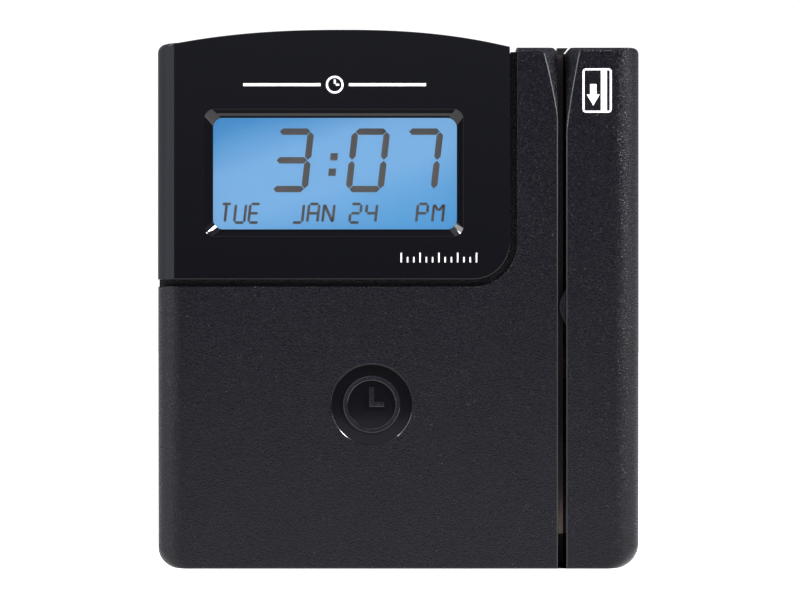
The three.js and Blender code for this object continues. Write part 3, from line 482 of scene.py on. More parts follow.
def noise(made, scale, **settings):
    """A noise in the frame's own space, at a scale given per millimetre."""
    return add_node(made, "ShaderNodeTexNoise", Vector=in_frame(made), Scale=scale / MM,
                    **settings).outputs["Fac"]


def toned(made, source, color, low, high):
    """Lets the base colour drift between two multiples of itself."""
    stops = [(0.3, [c * low for c in color]), (0.7, [c * high for c in color])]
    feed(made, Base_Color=ramp(made, source, stops))


def bump(made, height, distance, **settings):
    """A bump of the given height in millimetres."""
    return add_node(made, "ShaderNodeBump", Height=height, Distance=distance * MM, Strength=1.0,
                    **settings).outputs["Normal"]


def grained(name, color, roughness, depth, gloss=0.5, speckle=0.0):
    """Moulded plastic with an eroded grain, rubbed and mottled, and duller in spots by speckle."""
    made = material(name, color, roughness, Specular_IOR_Level=gloss)
    pebbles = add_node(made, "ShaderNodeTexVoronoi", feature="SMOOTH_F1", Vector=in_frame(made),
                       Scale=2.1 / MM, Randomness=1.0, Smoothness=0.5).outputs["Distance"]
    fine = noise(made, 2.7, Detail=2.0, Roughness=0.55)
    feed(made, Normal=bump(made, fine, depth * 1.5, Normal=bump(made, pebbles, depth)))
    toned(made, noise(made, 0.035, Detail=4.0, Roughness=0.55), color, 0.9, 1.12)
    rub, wear = 0.02, noise(made, 0.11, Detail=5.0, Roughness=0.65)
    sheen = ramp(made, wear, [(0.35, [roughness - rub]), (0.7, [roughness + rub])])
    uneven = ramp(made, noise(made, 2.3, Detail=1.0), [(0.5, [0.0]), (0.68, [speckle])])
    feed(made, Roughness=calculated(made, "ADD", sheen, uneven))
    return made


def polished(name, color, roughness, **inputs):
    """A smooth surface with faint handling marks in its gloss."""
    made = material(name, color, roughness, **inputs)
    smear, marks = 0.03, noise(made, 0.06, Detail=6.0, Roughness=0.7, Distortion=0.6)
    feed(made, Roughness=ramp(made, marks, [(0.35, [roughness]), (0.75, [roughness + smear])]))
    toned(made, marks, color, 0.94, 1.04)
    return made


def brushed(name, color, roughness, along="X"):
    """Metal with fine lines left by rolling or sliding along one axis."""
    made = material(name, color, roughness, Metallic=1.0)
    squeeze = add_node(made, "ShaderNodeMapping", Vector=in_frame(made),
                       Scale=[0.04 if axis == along else 1.0 for axis in "XYZ"])
    lines = add_node(made, "ShaderNodeTexNoise", Vector=squeeze.outputs["Vector"], Scale=9 / MM,
                     Detail=4.0).outputs["Fac"]
    feed(made, Roughness=ramp(made, lines, [(0.3, [roughness * 0.7]), (0.7, [roughness * 1.35])]),
         Normal=bump(made, lines, 0.004))
    toned(made, lines, color, 0.85, 1.1)
    return made


def shaded_by_height(made, shade_color, stops):
    """Paints shade by height, mixing a finish towards a shade colour; stops are (height, share of the
    finish).
    """
    bright = made.node_tree.nodes["Principled BSDF"].inputs["Base Color"].links[0].from_socket
    share = ramp(made, height_share(made, 0.0, TOP), [(z / TOP, [part]) for z, part in stops])
    feed(made, Base_Color=mixed(made, share, (*shade_color, 1), bright))
    return made


def sunken(name):
    """The emblem's recess: polished at its deep top, grained towards its shallow foot, and painted darker at
    its deep top as painted shade.
    """
    made = grained(name, DARK, 0.3, 0.01, gloss=0.32)
    rise = height_share(made, EMBLEM_Z - EMBLEM_RADIUS * 0.7, EMBLEM_Z + EMBLEM_RADIUS * 0.25,
                        interpolation_type="SMOOTHSTEP")
    # the colour darkens towards the deep top: painted shade inside the recess
    feed(made, Roughness=ramp(made, rise, [(0.0, [0.36]), (1.0, [0.09])]),
         Base_Color=ramp(made, rise, [(0.0, DARK), (1.0, (0.0012, 0.0012, 0.002))]))
    return made


def backlit(name):
    """The display's blue glass, lit from its left side and deeper in tone towards the top left."""
    made = material(name, (0.02, 0.05, 0.1), 0.35, Emission_Strength=1.0)
    rightward, downward = 0.44, 0.60         # shares of the drift across the glass and down it
    width, height = LCD.right - LCD.left, LCD.top - LCD.bottom
    drift = add_node(made, "ShaderNodeMapping", Vector=in_frame(made),
                     Scale=(rightward / (width * MM), 0, -downward / (height * MM)),
                     Location=(-rightward * LCD.left / width, 0, downward * LCD.top / height))
    split = add_node(made, "ShaderNodeSeparateXYZ", Vector=drift.outputs["Vector"])
    total = calculated(made, "ADD", split.outputs["X"], split.outputs["Z"])
    clouded = calculated(made, "MULTIPLY_ADD", noise(made, 0.03, Detail=2.0), 0.12, total)
    feed(made, Emission_Color=ramp(made, clouded, [
        (0.08, (0.038, 0.225, 0.545)), (0.22, (0.056, 0.262, 0.58)), (0.42, (0.178, 0.41, 0.72)),
        (0.65, (0.178, 0.413, 0.72)), (0.84, (0.105, 0.345, 0.665)), (0.97, (0.075, 0.31, 0.64))]))
    return made


GRAINED = grained("grained_plastic", (0.0026, 0.0022, 0.0048), 0.175, 0.1, gloss=0.315, speckle=0.17)
GRAINED_REAR = grained("grained_rear", (0.0045, 0.0042, 0.005), 0.4, 0.07, gloss=0.4)
GLOSS = polished("gloss_bezel", (0.0026, 0.0027, 0.0040), 0.045)
RECESS = sunken("emblem_recess")
SATIN = polished("opening_satin", (0.0025, 0.0025, 0.0038), 0.18, Specular_IOR_Level=0.06)
EDGE = polished("emblem_edge", DARK, 0.14, Specular_IOR_Level=0.5)
# lighter, glossier ridges: partly real rubbing wear, partly a painted highlight, painted dimmer towards the
# slot's shadow colour lower down
WORN_HIGHLIGHT = shaded_by_height(polished("worn_ridge_highlight", (0.05, 0.053, 0.062), 0.3, Specular_IOR_Level=0.8), DULL,
             ((30, 0.12), (85, 0.2), (105, 0.5), (130, 0.8), (150, 1.0)))
PRINT = polished("printed_white", (0.97, 0.97, 0.96), 0.5)
CLEAR = material("clear_window", (1, 1, 1), 0.02, Transmission_Weight=1.0, IOR=1.46)
LCD_GLASS = backlit("lcd_blue")
SEGMENT = material("lcd_segment", (0.112, 0.098, 0.092), 0.6)
STEEL = brushed("steel", (0.42, 0.42, 0.43), 0.32)
HEAD_CAN = brushed("head_can", (0.125, 0.125, 0.135), 0.28, along="Z")
# bronze strip painted darker by height towards the slot's shadow colour: painted shade up the slot, full
# colour near the floor, a little lighter at the mouth
BRONZE_PAINTED_SHADE = shaded_by_height(brushed("wear_bronze", (0.28, 0.218, 0.19), 0.34, along="Z"), (0.009, 0.009, 0.017), (
    (11, 1.0), (16, 0.8), (21, 0.42), (26, 0.25), (50, 0.16), (80, 0.36), (150, 0.42), (160, 0.55)))
# the finish of each material slot in the record
SLOTS = {
    "grained_plastic": GRAINED,
    "gloss_bezel": GLOSS,
    "clear_window": CLEAR,
    "lcd_blue": LCD_GLASS,
    "steel": STEEL,
    "head_can": HEAD_CAN,
    "wear_bronze": BRONZE_PAINTED_SHADE,
}
for finish, looks in (
    (polished, {
        "diffuser": ((0.82, 0.84, 0.86), 0.35),
        "silicone": ((0.5, 0.32, 0.3), 0.5),
        "laminate": ((0.012, 0.1, 0.035), 0.3),
        "connector_ivory": ((0.72, 0.68, 0.58), 0.42),
        "ribbon": ((0.5, 0.25, 0.05), 0.35),
        "capacitor_sleeve": ((0.018, 0.036, 0.12), 0.3),
        "button_red": ((0.4, 0.02, 0.015), 0.32),
    }),
    (grained, {
        "foam": ((0.02, 0.02, 0.022), 0.85, 0.08),
        "frame_black": ((0.02, 0.02, 0.022), 0.5, 0.02),
        "epoxy": ((0.014, 0.014, 0.016), 0.45, 0.015),
    }),
):
    for name, numbers in looks.items():
        SLOTS[name] = finish(name, *numbers)


def dress(obj, look, cad_node):
    """Gives a new piece its finish, puts it on the fixed body and hides the CAD node that it stands for."""
    obj.data.materials.clear()
    obj.data.materials.append(look)
    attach(obj, "root")
    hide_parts(cad_node)


# ---------------------------------------------------------------- grained mouldings
def lead_in(wall, side, lead):
    """The wedge cut from one side of the slot's mouth, with its ridge rounded."""
    front, beyond, soft, levels = HOUSING.front, 0.4, 0.22, 26
    rings = []
    for i in range(levels + 1):
        t = i / levels
        reach = max(lead["width"] * t ** LEAD_POWER, 0.02)
        z = lead["end"] + (TOP - lead["end"]) * t + (1 if i == levels else 0)
        corner = (wall - side * beyond, front - 1, z)
        inner = (wall - side * beyond, front + (reach + beyond) * LEAD_DEPTH, z)
        ridge = min(soft, reach * 0.5)
        arc = []
        for k in range(6):
            a = k / 5
            u = reach - ridge + 2 * ridge * a
            v = (1 - a) ** 2 * ridge * LEAD_DEPTH
            arc.append((wall + side * u, front + v, z))
        outer = (wall + side * (reach + ridge + 0.01), front - 1, z)
        outline = [corner, inner, *arc, outer]
        rings.append(outline if side < 0 else outline[::-1])
    return loft("lead_in", rings)


def mouth_chamfer(wall, side):
    """The 45 degree chamfer at the top end of a slot wall."""
    c = MOUTH_CHAMFER
    corners = [(wall + side * c, TOP, 0), (wall, TOP - c, 0), (wall - side, TOP - c - 1, 0),
               (wall - side, TOP + 1, 0), (wall + side * (c + 1), TOP + 1, 0)]
    return prism("mouth_chamfer", corners if side < 0 else corners[::-1], HOUSING.front - 1, SEAM + 1)


def housing_corners(inset=0.0):
    pocket_x, pocket_z = BEZEL.right + GROOVE, BEZEL.bottom - GROOVE
    return [
        (HOUSING.left + inset, inset, BOTTOM_LEFT_RADIUS - inset), (SLOT_LEFT - inset, inset, 0),
        (SLOT_LEFT - inset, TOP - inset, 0), (pocket_x + inset, TOP - inset, 0),
        (pocket_x + inset, pocket_z - inset, BEZEL_CORNER + GROOVE + inset),
        (HOUSING.left + inset, pocket_z - inset, 0),
    ]


def emblem_recess():
    """The round recess, deepest at its top, with a softened rim."""
    rim = 0.35
    middle, slope = (EMBLEM_DEEP + EMBLEM_SHALLOW) / 2, (EMBLEM_DEEP - EMBLEM_SHALLOW) / 2
    # each level: how much wider than the recess, its depth, and how far its floor slopes
    levels = [(rim, -0.6, 0), (rim, 0, 0), (rim * 0.62, rim * 0.07, 0), (rim * 0.29, rim * 0.3, 0),
              (0, rim, 0), (0, middle - 0.1, slope), (-0.06, middle - 0.03, slope), (-0.16, middle, slope)]
    return loft("emblem_recess", [
        [(EMBLEM_X + (EMBLEM_RADIUS + grow) * c, HOUSING.front + depth + tilt * s,
          EMBLEM_Z + (EMBLEM_RADIUS + grow) * s) for c, s in directions(ROUND_SIDES)]
        for grow, depth, tilt in levels])


def emblem_glyph():
    """A raised dial rim with an hour hand and a minute hand."""
    front, foot, soft = HOUSING.front, HOUSING.front + EMBLEM_FOOT, 0.4
    outer, inner = 9.0, 7.3
    profile = [(inner, foot), (inner, front + soft), (inner + soft * 0.3, front + soft * 0.3),
               (inner + soft, front), (outer - soft, front), (outer - soft * 0.3, front + soft * 0.3),
               (outer, front + soft), (outer, foot)]
    verts = [(EMBLEM_X + r * c, y, EMBLEM_Z + r * s)
             for c, s in directions(ROUND_SIDES) for r, y in profile]
    count = len(profile)
    faces = [[i * count + k, i * count + (k + 1) % count, j * count + (k + 1) % count, j * count + k]
             for i in range(ROUND_SIDES) for j in [(i + 1) % ROUND_SIDES] for k in range(count)]
    rim = new_object("rim", verts, faces)
    face_outward(rim)
    half, minute, hour = 0.85, 5.4, 4.0
    hands = block("hands", [
        (EMBLEM_X - half, EMBLEM_Z - half, 0), (EMBLEM_X + hour, EMBLEM_Z - half, 0),
        (EMBLEM_X + hour, EMBLEM_Z + half, 0), (EMBLEM_X + half, EMBLEM_Z + half, 0),
        (EMBLEM_X + half, EMBLEM_Z + minute, 0), (EMBLEM_X - half, EMBLEM_Z + minute, 0),
    ], [rounded(CREASE_RADIUS)] * 6, front, foot)
    return [rim, hands]


def seat():
    """The sunken panel behind the bezel, and the space that it leaves behind itself."""
    clear = 2.3
    left, right, low = BEZEL.left + clear, BEZEL.right + GROOVE + 8, BEZEL.bottom - GROOVE - 8
    outer = prism("seat", [
        (left, low, 0), (right, low, 0), (right, TOP - clear - 1, 0), (BEZEL.right, TOP - clear, 0),
        *arch(BEZEL.right - 1, INNER_ARCH_LEFT, clear, 20), (left, SHOULDER_Z - clear, 1),
    ], SEAT_FRONT, SEAM)
    inner = clear + 2
    space = prism("seat_space", [
        (BEZEL.left + inner, low - 10, 0), (SLOT_LEFT - WALL, low - 10, 0),
        (SLOT_LEFT - WALL, TOP - inner - 0.2, 0), (BEZEL.right - 2, TOP - inner, 0),
        *arch(BEZEL.right - 4, INNER_ARCH_LEFT, inner, 20), (BEZEL.left + inner, SHOULDER_Z - inner, 1),
    ], SEAT_FRONT + 2, SEAM + 1)
    return outer, space


def ridge_wear_and_highlight(body, wall, side, lead):
    """Gives the ridge of a lead-in, and the crease of the slot wall below it, the lighter finish of a worn
    edge, partly a painted highlight.
    """
    body.data.materials.append(WORN_HIGHLIGHT)
    index = len(body.data.materials) - 1
    for face in body.data.polygons:
        x, y, z = (c / MM for c in face.center)
        away = (x - wall) * side
        tilt = -face.normal.y
        if y > HOUSING.front + 0.6 or away < -0.1:
            continue
        if z > lead["end"]:
            worn_highlight = away < lead["width"] + 0.6 and z < TOP - TOP_EDGE_RADIUS and 0.7 < tilt < 0.9995
        else:
            worn_highlight = away < CREASE_RADIUS + 0.05 and z > FOOT_RADIUS and 0.2 < tilt < 0.995
        if worn_highlight:
            face.material_index = index


def front_housing():
    crease = rounded(CREASE_RADIUS)
    edges = [rounded(FOOT_RADIUS), crease, rounded(TOP_EDGE_RADIUS), crease, crease, rounded(EDGE_RADIUS)]
    body = block("housing_moulding", housing_corners(), edges, HOUSING.front, SEAM)
    panel, space = seat()
    pocket_x = BEZEL.right + GROOVE
    groove_ends = [
        cuboid("groove_top", BEZEL.right + GAP, pocket_x + 1, SEAT_FRONT, SEAM, *GROOVE_TOP),
        cuboid("groove_side", HOUSING.left + 0.55, -60, SEAT_FRONT, SEAM, GROOVE_SIDE, BEZEL.bottom - 0.05),
    ]
    inner_edges = [rounded(INNER_RADIUS)] * 5 + [rounded(EDGE_RADIUS - WALL)]
    inside = block("inside", housing_corners(WALL), inner_edges, HOUSING.front + WALL, SEAM + 1)
    unite(body, [panel, *groove_ends])
    aside, above = 0.8, 0.7
    opening = prism("opening", rectangle(LCD.left - aside, LCD.right + aside, LCD.bottom - above,
                                         LCD.top + above, 0.5),
                    SEAT_FRONT - 1, SEAT_FRONT + 3)
    backing = lathe("backing", [(EMBLEM_RADIUS + 2, HOUSING.front + depth) for depth in (1.0, 3.3)],
                    (EMBLEM_X, 0, EMBLEM_Z))
    carve(body, [inside, space, opening])
    unite(body, [backing])
    carve(body, [lead_in(SLOT_LEFT, -1, LEAD_LEFT), mouth_chamfer(SLOT_LEFT, -1), emblem_recess()])
    unite(body, emblem_glyph())
    dress(shade(body), GRAINED, "front_housing")
    body.data.materials.append(RECESS)
    body.data.materials.append(EDGE)
    recess_index, edge_index = 1, 2
    for face in body.data.polygons:
        away = math.hypot(face.center.x / MM - EMBLEM_X, face.center.z / MM - EMBLEM_Z)
        depth = face.center.y / MM - HOUSING.front
        if away < EMBLEM_RADIUS + 0.45 and depth < EMBLEM_FOOT:
            if depth > 0.36 and face.normal.y < -0.98:
                face.material_index = recess_index
            elif face.normal.y > -0.999:
                face.material_index = edge_index
    ridge_wear_and_highlight(body, SLOT_LEFT, -1, LEAD_LEFT)


def reader_cover():
    corners = [(SLOT_RIGHT, 0, 0), (READER.right, 0, BOTTOM_RIGHT_RADIUS),
               (READER.right, TOP, TOP_RIGHT_RADIUS), (SLOT_RIGHT, TOP, 0)]
    edges = [rounded(r) for r in (FOOT_RADIUS, EDGE_RADIUS, TOP_EDGE_RADIUS, CREASE_RADIUS)]
    body = block("reader_moulding", corners, edges, READER.front, SEAM)
    inner = [(SLOT_RIGHT + WALL, WALL, 0), (READER.right - WALL, WALL, BOTTOM_RIGHT_RADIUS - WALL),
             (READER.right - WALL, TOP - WALL, 0), (SLOT_RIGHT + WALL, TOP - WALL, 0)]
    inner_edges = [rounded(r) for r in (INNER_RADIUS, EDGE_RADIUS - WALL, INNER_RADIUS, INNER_RADIUS)]
    inside = block("inside", inner, inner_edges, READER.front + WALL, SEAM + 1)
    middle_y, middle_z = (HEAD.front + HEAD.back) / 2, (HEAD.bottom + HEAD.top) / 2
    half_depth, half_height = 6.6, 7.1
    window = cuboid("window", SLOT_RIGHT - 1, SLOT_RIGHT + WALL + 1, middle_y - half_depth,
                    middle_y + half_depth, middle_z - half_height, middle_z + half_height)
    carve(body, [inside, window, lead_in(SLOT_RIGHT, 1, LEAD_RIGHT), mouth_chamfer(SLOT_RIGHT, 1)])
    dress(shade(body), GRAINED, "reader_cover")
    ridge_wear_and_highlight(body, SLOT_RIGHT, 1, LEAD_RIGHT)


# ---------------------------------------------------------------- rear cover
def rear_trace(inset):
    side = READER.right - inset
    return [
        (-side, inset - 1, BOTTOM_LEFT_RADIUS - inset), (side, inset - 1, BOTTOM_RIGHT_RADIUS - inset),
        (side, TOP - inset, 1.2), (BEZEL.right + 1, TOP - inset, 0),
        *arch(BEZEL.right - 2, INNER_ARCH_LEFT, inset, 30), (-side, SHOULDER_Z - inset, 2),
    ]


def slot_rib():
    """The rib that forms the card slot's floor, flared at its top end."""
    left, right, flare, lean = SLOT_LEFT + GAP, SLOT_RIGHT - GAP, MOUTH_CHAMFER / 2, 0.7
    foot, neck, top = 0.1, TOP - 1.1, TOP + 0.7
    corners = [(left, foot, 0), (right, foot, 0), (right, neck, 0), (right + flare + lean, top, 0),
               (left - flare + lean, top, 0), (left, neck, 0)]
    edges = [rounded(1.6)] + [rounded(0.15)] * 5
    return block("rib", corners, edges, STRIP.back + GAP, REAR.back - 0.5)


# places along Y, and how much wider a hole is there
HOLE_MOUTH = [(REAR.back - HOLE_EDGE, 0.0), (REAR.back - HOLE_EDGE * 0.3, HOLE_EDGE * 0.3),
              (REAR.back, HOLE_EDGE), (REAR.back + 1, HOLE_EDGE)]


def countersunk(x, z):
    """A stepped hole for a screw, with a softened mouth."""
    hole, head, floor = SCREW_HOLE.values()
    return lathe("screw_hole", [(hole, SEAM - 2), (hole, floor), (head, floor)] + [
        (head + grow, y) for y, grow in HOLE_MOUTH], (x, 0, z), sides=HOLE_SIDES)


def keyhole(side):
    x, z, head, neck, rise = KEYHOLE.values()
    x *= side
    shoulder = math.asin(neck / head)
    start, turn = math.pi / 2 + shoulder, 2 * math.pi - 2 * shoulder
    around_head = [start + turn * i / HOLE_SIDES for i in range(HOLE_SIDES + 1)]
    around_neck = [math.pi * i / 20 for i in range(21)]
    corners = [(x + head * math.cos(a), z + head * math.sin(a), 0) for a in around_head]
    corners += [(x + neck * math.cos(a), z + rise + neck * math.sin(a), 0) for a in around_neck]
    return loft("keyhole", [
        [(p.x, y, p.y) for p in ring(corners, [-grow] * len(corners))]
        for y, grow in [(PLATE_INNER - 1, 0.0), *HOLE_MOUTH]])


def rear_cover():
    outline = rear_trace(1)
    body = block("rear_moulding", outline, [rounded(REAR_EDGE)] * len(outline), REAR.back, SEAM + GAP)
    carve(body, [prism("inside", rear_trace(3), SEAM - 1, PLATE_INNER)])
    posts = [lathe("post", [(POST_RADIUS, SEAM + GAP), (POST_RADIUS, PLATE_INNER + 0.1)], (x, 0, z),
                   sides=HOLE_SIDES) for x, z in CASE_SCREWS]
    walls = cuboid("bay_walls", BAY["left"] - BAY["wall"], BAY["right"] + BAY["wall"], SEAM + GAP,
                   PLATE_INNER + 0.1, 0.5, BAY["top"] + BAY["wall"])
    unite(body, [slot_rib(), joined("posts", posts), walls])
    roof, above = BAY["top"] - 0.1, BAY["top"] + BAY["wall"] + 1
    bay = block("bay", rectangle(BAY["left"], BAY["right"], -2, BAY["top"]), [rounded(SHARP)] * 4,
                BAY["front"], REAR.back + 1)
    ports = [cuboid("port", socket.left - GAP, socket.right + GAP, SEAM - 1, socket.back + clear, roof, above)
             for socket, clear in ((NETWORK, GAP), (POWER, 0.4))]
    reset_radius, reset_x, reset_y = 2.2, 3, 13
    ports.append(lathe("reset_port", [(reset_radius, roof - 1), (reset_radius, above)],
                       (reset_x, reset_y, 0), axis="Z", sides=HOLE_SIDES))
    cable_back, cable_low, cable_high = 12.4, 58, 70
    cable_pass = cuboid("cable_pass", SLOT_LEFT - 1, SLOT_RIGHT + 1, SEAM + GAP + 0.2, cable_back,
                        cable_low, cable_high)
    holes = [countersunk(x, z) for x, z in CASE_SCREWS]
    vents = [prism("vent", rectangle(x, x + VENT_WIDTH, *VENT_Z, VENT_RADIUS), PLATE_INNER - 1, REAR.back + 1)
             for x in VENT_LEFTS]
    carve(body, [bay, *ports, cable_pass, joined("holes", holes), keyhole(-1), keyhole(1),
                 joined("vents", vents)])
    dress(shade(body), GRAINED_REAR, "rear_cover")


# ---------------------------------------------------------------- display bezel
def view_cutter():
    """The flared opening in front of the display, with both of its edges softened."""
    def at(y, grow, extra):
        left, low = (VIEW[k] - grow * VIEW_BEVEL[k] - extra for k in ("left", "bottom"))
        right, high = (VIEW[k] + grow * VIEW_BEVEL[k] + extra for k in ("right", "top"))
        radius = VIEW["radius"] + extra * 0.5
        return [(p.x, y, p.y) for p in ring(rectangle(left, right, low, high, radius))]
    front, soft = BEZEL.front, 0.22
    rings = [at(front - 0.5, 1, soft), at(front, 1, soft)]
    rings += [at(front + soft * (1 - math.cos(a)), 1, soft * (1 - math.sin(a)))
              for a in (math.radians(25), math.radians(50))]
    rings += [at(front + BEZEL_PLATE * (1 - grow) * 0.95, grow, 0) for grow in (*LINE_GROWTH, 0.0)]
    rings.append(at(front + BEZEL_PLATE + 2, 0.0, 0))
    return loft("view_cutter", rings)


def display_bezel():
    corners = [(BEZEL.left, BEZEL.bottom, 0), (BEZEL.right, BEZEL.bottom, BEZEL_CORNER),
               *arch(BEZEL.right, ARCH_LEFT), (BEZEL.left, SHOULDER_Z, SHOULDER_RADIUS)]
    edges = [rounded(BEZEL_EDGE)] * (len(corners) - 1) + [banded]
    body = block("bezel_moulding", corners, edges, BEZEL.front + PRINT_DEPTH, SEAM)
    skirt, inner_band = BEZEL_SKIRT, rounded(4.4)
    inner = [(BEZEL.left + skirt, BEZEL.bottom + skirt, 0),
             (BEZEL.right - skirt, BEZEL.bottom + skirt, BEZEL_CORNER - skirt),
             *arch(BEZEL.right - skirt, INNER_ARCH_LEFT, skirt, 20),
             (BEZEL.left + skirt, SHOULDER_Z - skirt, 0.8)]
    inside = block("inside", inner, [rounded(INNER_RADIUS)] * (len(inner) - 1) + [inner_band],
                   BEZEL.front + BEZEL_PLATE, SEAM + 1)
    # the skirt ends at the seat along the bezel's foot and right side
    back, cut_left, cut_low = SEAT_FRONT - GAP, BEZEL.right - skirt - 6, 95
    cuts = [
        cuboid("skirt_low", BEZEL.left + skirt, BEZEL.right + 1, back, SEAM + 1, BEZEL.bottom - 1,
               BEZEL.bottom + BEZEL_CORNER + 4),
        prism("skirt_right", [(cut_left, cut_low, 0), (BEZEL.right + 1, cut_low, 0),
                              (BEZEL.right + 1, arch_height(BEZEL.right) - skirt, 0),
                              (cut_left, arch_height(BEZEL.right - 8) - skirt, 0)],
              back, SEAM + 1),
    ]
    carve(body, [inside, *cuts, view_cutter()])
    dress(shade(body), GLOSS, "display_bezel")
    body.data.materials.append(SATIN)
    near = 4
    for face in body.data.polygons:
        x, y, z = (c / MM for c in face.center)
        flare = min(abs(face.normal.x), abs(face.normal.z)) < 0.12 and 0.2 < -face.normal.y < 0.95
        inward = (VIEW["left"] - near < x < VIEW["right"] + near
                  and VIEW["bottom"] - near < z < VIEW["top"] + near)
        high = (z - VIEW["top"]) / VIEW_BEVEL["top"]
        line = LINE_GROWTH[1] < high < LINE_GROWTH[0]          # left glossy
        if flare and inward and y > BEZEL.front + 0.2 and not line:
            face.material_index = 1


# ---------------------------------------------------------------- display
def slab(name, points, y, thick):
    """A thin plate with the given outline, standing proud of y by its thickness."""
    return loft(name, [[(p[0], level, p[1]) for p in points] for level in (y - thick, y)])


def stroke(a, b, width, base, tight=0.12):
    """A pointed segment between two places, leaning with the display's characters."""
    a, b = Vector(a), Vector(b)
    along = (b - a).normalized()
    across = Vector((-along.y, along.x)) * width / 2
    a, b = a + along * tight, b - along * tight
    point = along * width * 0.5
    corners = [a, a + point - across, b - point - across, b, b - point + across, a + point + across]
    return [(p.x + (p.y - base) * SLANT, p.y) for p in corners]


def big_digit(x, shapes):
    """Seven-segment strokes of one large digit whose lower left corner is at x."""
    width, height, thick, base = DIGIT.values()
    l, r = x + thick / 2, x + width - thick / 2
    d, m, u = base + thick / 2, base + height / 2, base + height - thick / 2
    ends = {"a": ((l, u), (r, u)), "b": ((r, m), (r, u)), "c": ((r, d), (r, m)), "d": ((l, d), (r, d)),
            "e": ((l, d), (l, m)), "f": ((l, m), (l, u)), "g": ((l, m), (r, m))}
    return [stroke(*ends[s], thick, base, 0.15) for s in shapes]


# strokes of each character, as shares of its cell's width and height
LETTERS = {
    "T": [((0, 1), (1, 1)), ((0.5, 1), (0.5, 0))],
    "U": [((0, 1), (0, 0)), ((0, 0), (1, 0)), ((1, 0), (1, 1))],
    "E": [((0, 1), (1, 1)), ((0, 1), (0, 0)), ((0, 0), (1, 0)), ((0, 0.5), (0.9, 0.5))],
    "J": [((1, 1), (1, 0)), ((0, 0), (1, 0))],
    "A": [((0, 0), (0, 1)), ((0, 1), (1, 1)), ((1, 1), (1, 0)), ((0, 0.5), (1, 0.5))],
    "N": [((0, 0), (0, 1)), ((0, 1), (1, 0)), ((1, 0), (1, 1))],
    "2": [((0, 1), (1, 1)), ((1, 1), (1, 0.5)), ((0, 0.5), (1, 0.5)), ((0, 0.5), (0, 0)), ((0, 0), (1, 0))],
    "4": [((0, 1), (0, 0.5)), ((0, 0.5), (1, 0.5)), ((1, 1), (1, 0))],
    "P": [((0, 0), (0, 1)), ((0, 1), (1, 1)), ((1, 1), (1, 0.5)), ((0, 0.5), (1, 0.5))],
    "M": [((0, 0), (0, 1)), ((0, 1), (0.5, 0.6)), ((0.5, 0.6), (1, 1)), ((1, 1), (1, 0))],
}


def small_word(word, x, pitch):
    """Strokes of a short word in the date row, its first cell's lower left corner at x."""
    width, height, thick, base = LETTER.values()
    return [stroke(*((x + pitch * i + u * width, base + v * height) for u, v in line), thick, base)
            for i, letter in enumerate(word) for line in LETTERS[letter]]


def display_characters():
    shapes = big_digit(-40.3, "abcdg") + big_digit(-16.6, "abcdef") + big_digit(0.0, "abc")
    for z in (122.4, 127.2):
        lean = (z - DIGIT["base"]) * SLANT
        shapes.append([(-22.5 + lean, z), (-20.2 + lean, z),
                       (-19.95 + lean, z + 2.3), (-22.25 + lean, z + 2.3)])
    shapes += small_word("TUE", -55.75, 4.5) + small_word("JAN", -33.2, 4.75)
    shapes += small_word("24", -15.3, 4.9) + small_word("PM", 5.5, 5.0)
    whole = joined("lcd_characters", [slab("stroke", s, LCD.front, 0.04) for s in shapes])
    whole.data.materials.append(SEGMENT)
    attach(whole, "root")


# ---------------------------------------------------------------- head springs
def head_spring(node):
    """A coil between the moving head plate and the fixed screw head."""
    box = Box(node)
    wire, turns, per_turn, sides = 0.27, 3.5, 24, 10
    flat = 0.14                      # share of the coil that lies flat at each end
    radius = (box.top - box.bottom) / 2 - wire
    middle_y, middle_z = (box.front + box.back) / 2, (box.bottom + box.top) / 2
    start, length = box.left + wire, box.right - box.left - 2 * wire
    rings = []
    for i in range(int(turns * per_turn) + 1):
        share = i / (turns * per_turn)
        angle = 2 * math.pi * turns * share
        climb = min(max((share - flat) / (1 - 2 * flat), 0), 1)
        centre = Vector((start + length * climb, middle_y + radius * math.cos(angle),
                         middle_z + radius * math.sin(angle)))
        outward, along = Vector((0, math.cos(angle), math.sin(angle))), Vector((1, 0, 0))
        rings.append([centre + outward * wire * c + along * wire * s for c, s in directions(sides)])
    coil = shade(loft(f"{node}_coil", rings), 50)
    coil.data.materials.clear()
    coil.data.materials.append(STEEL)
    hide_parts(node)
    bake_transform(coil)


# ---------------------------------------------------------------- printed marks
def printed(name, shapes, y):
    whole = joined(name, [slab("mark", s, y, PRINT_THICK) for s in shapes])
    whole.data.materials.append(PRINT)
    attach(whole, "root")


def frame_shapes(x0, x1, z0, z1, width, radius):
    """A rounded rectangular line as short mitred pieces."""
    corners = rectangle(x0, x1, z0, z1, radius)
    outer, inner = ring(corners), ring(corners, [width] * 4)
    count = len(outer)
    return [[outer[i], outer[(i + 1) % count], inner[(i + 1) % count], inner[i]] for i in range(count)]


def circle_shapes(x, z, outer, inner):
    """A round line as short mitred pieces."""
    turn = directions(48)
    return [[(x + r * c, z + r * s) for r, (c, s) in ((outer, a), (outer, b), (inner, b), (inner, a))]
            for a, b in zip(turn, turn[1:] + turn[:1])]


def swipe_icon():
    """The card and arrow that show which way to swipe."""
    x0, z0 = READER.right - 17.7, TOP - 20.3
    shapes = frame_shapes(x0, x0 + 9.1, z0, z0 + 13.8, 0.62, 1.1)
    shapes.append(rectangle(x0 + 5.7, x0 + 7.6, z0 + 0.7, z0 + 13.1))
    shapes.append(rectangle(x0 + 2.35, x0 + 4.35, z0 + 5.6, z0 + 8.9))
    shapes.append([(x0 + 3.35, z0 + 2.2), (x0 + 5.35, z0 + 5.65), (x0 + 1.3, z0 + 5.65)])
    printed("swipe_icon", shapes, READER.front)


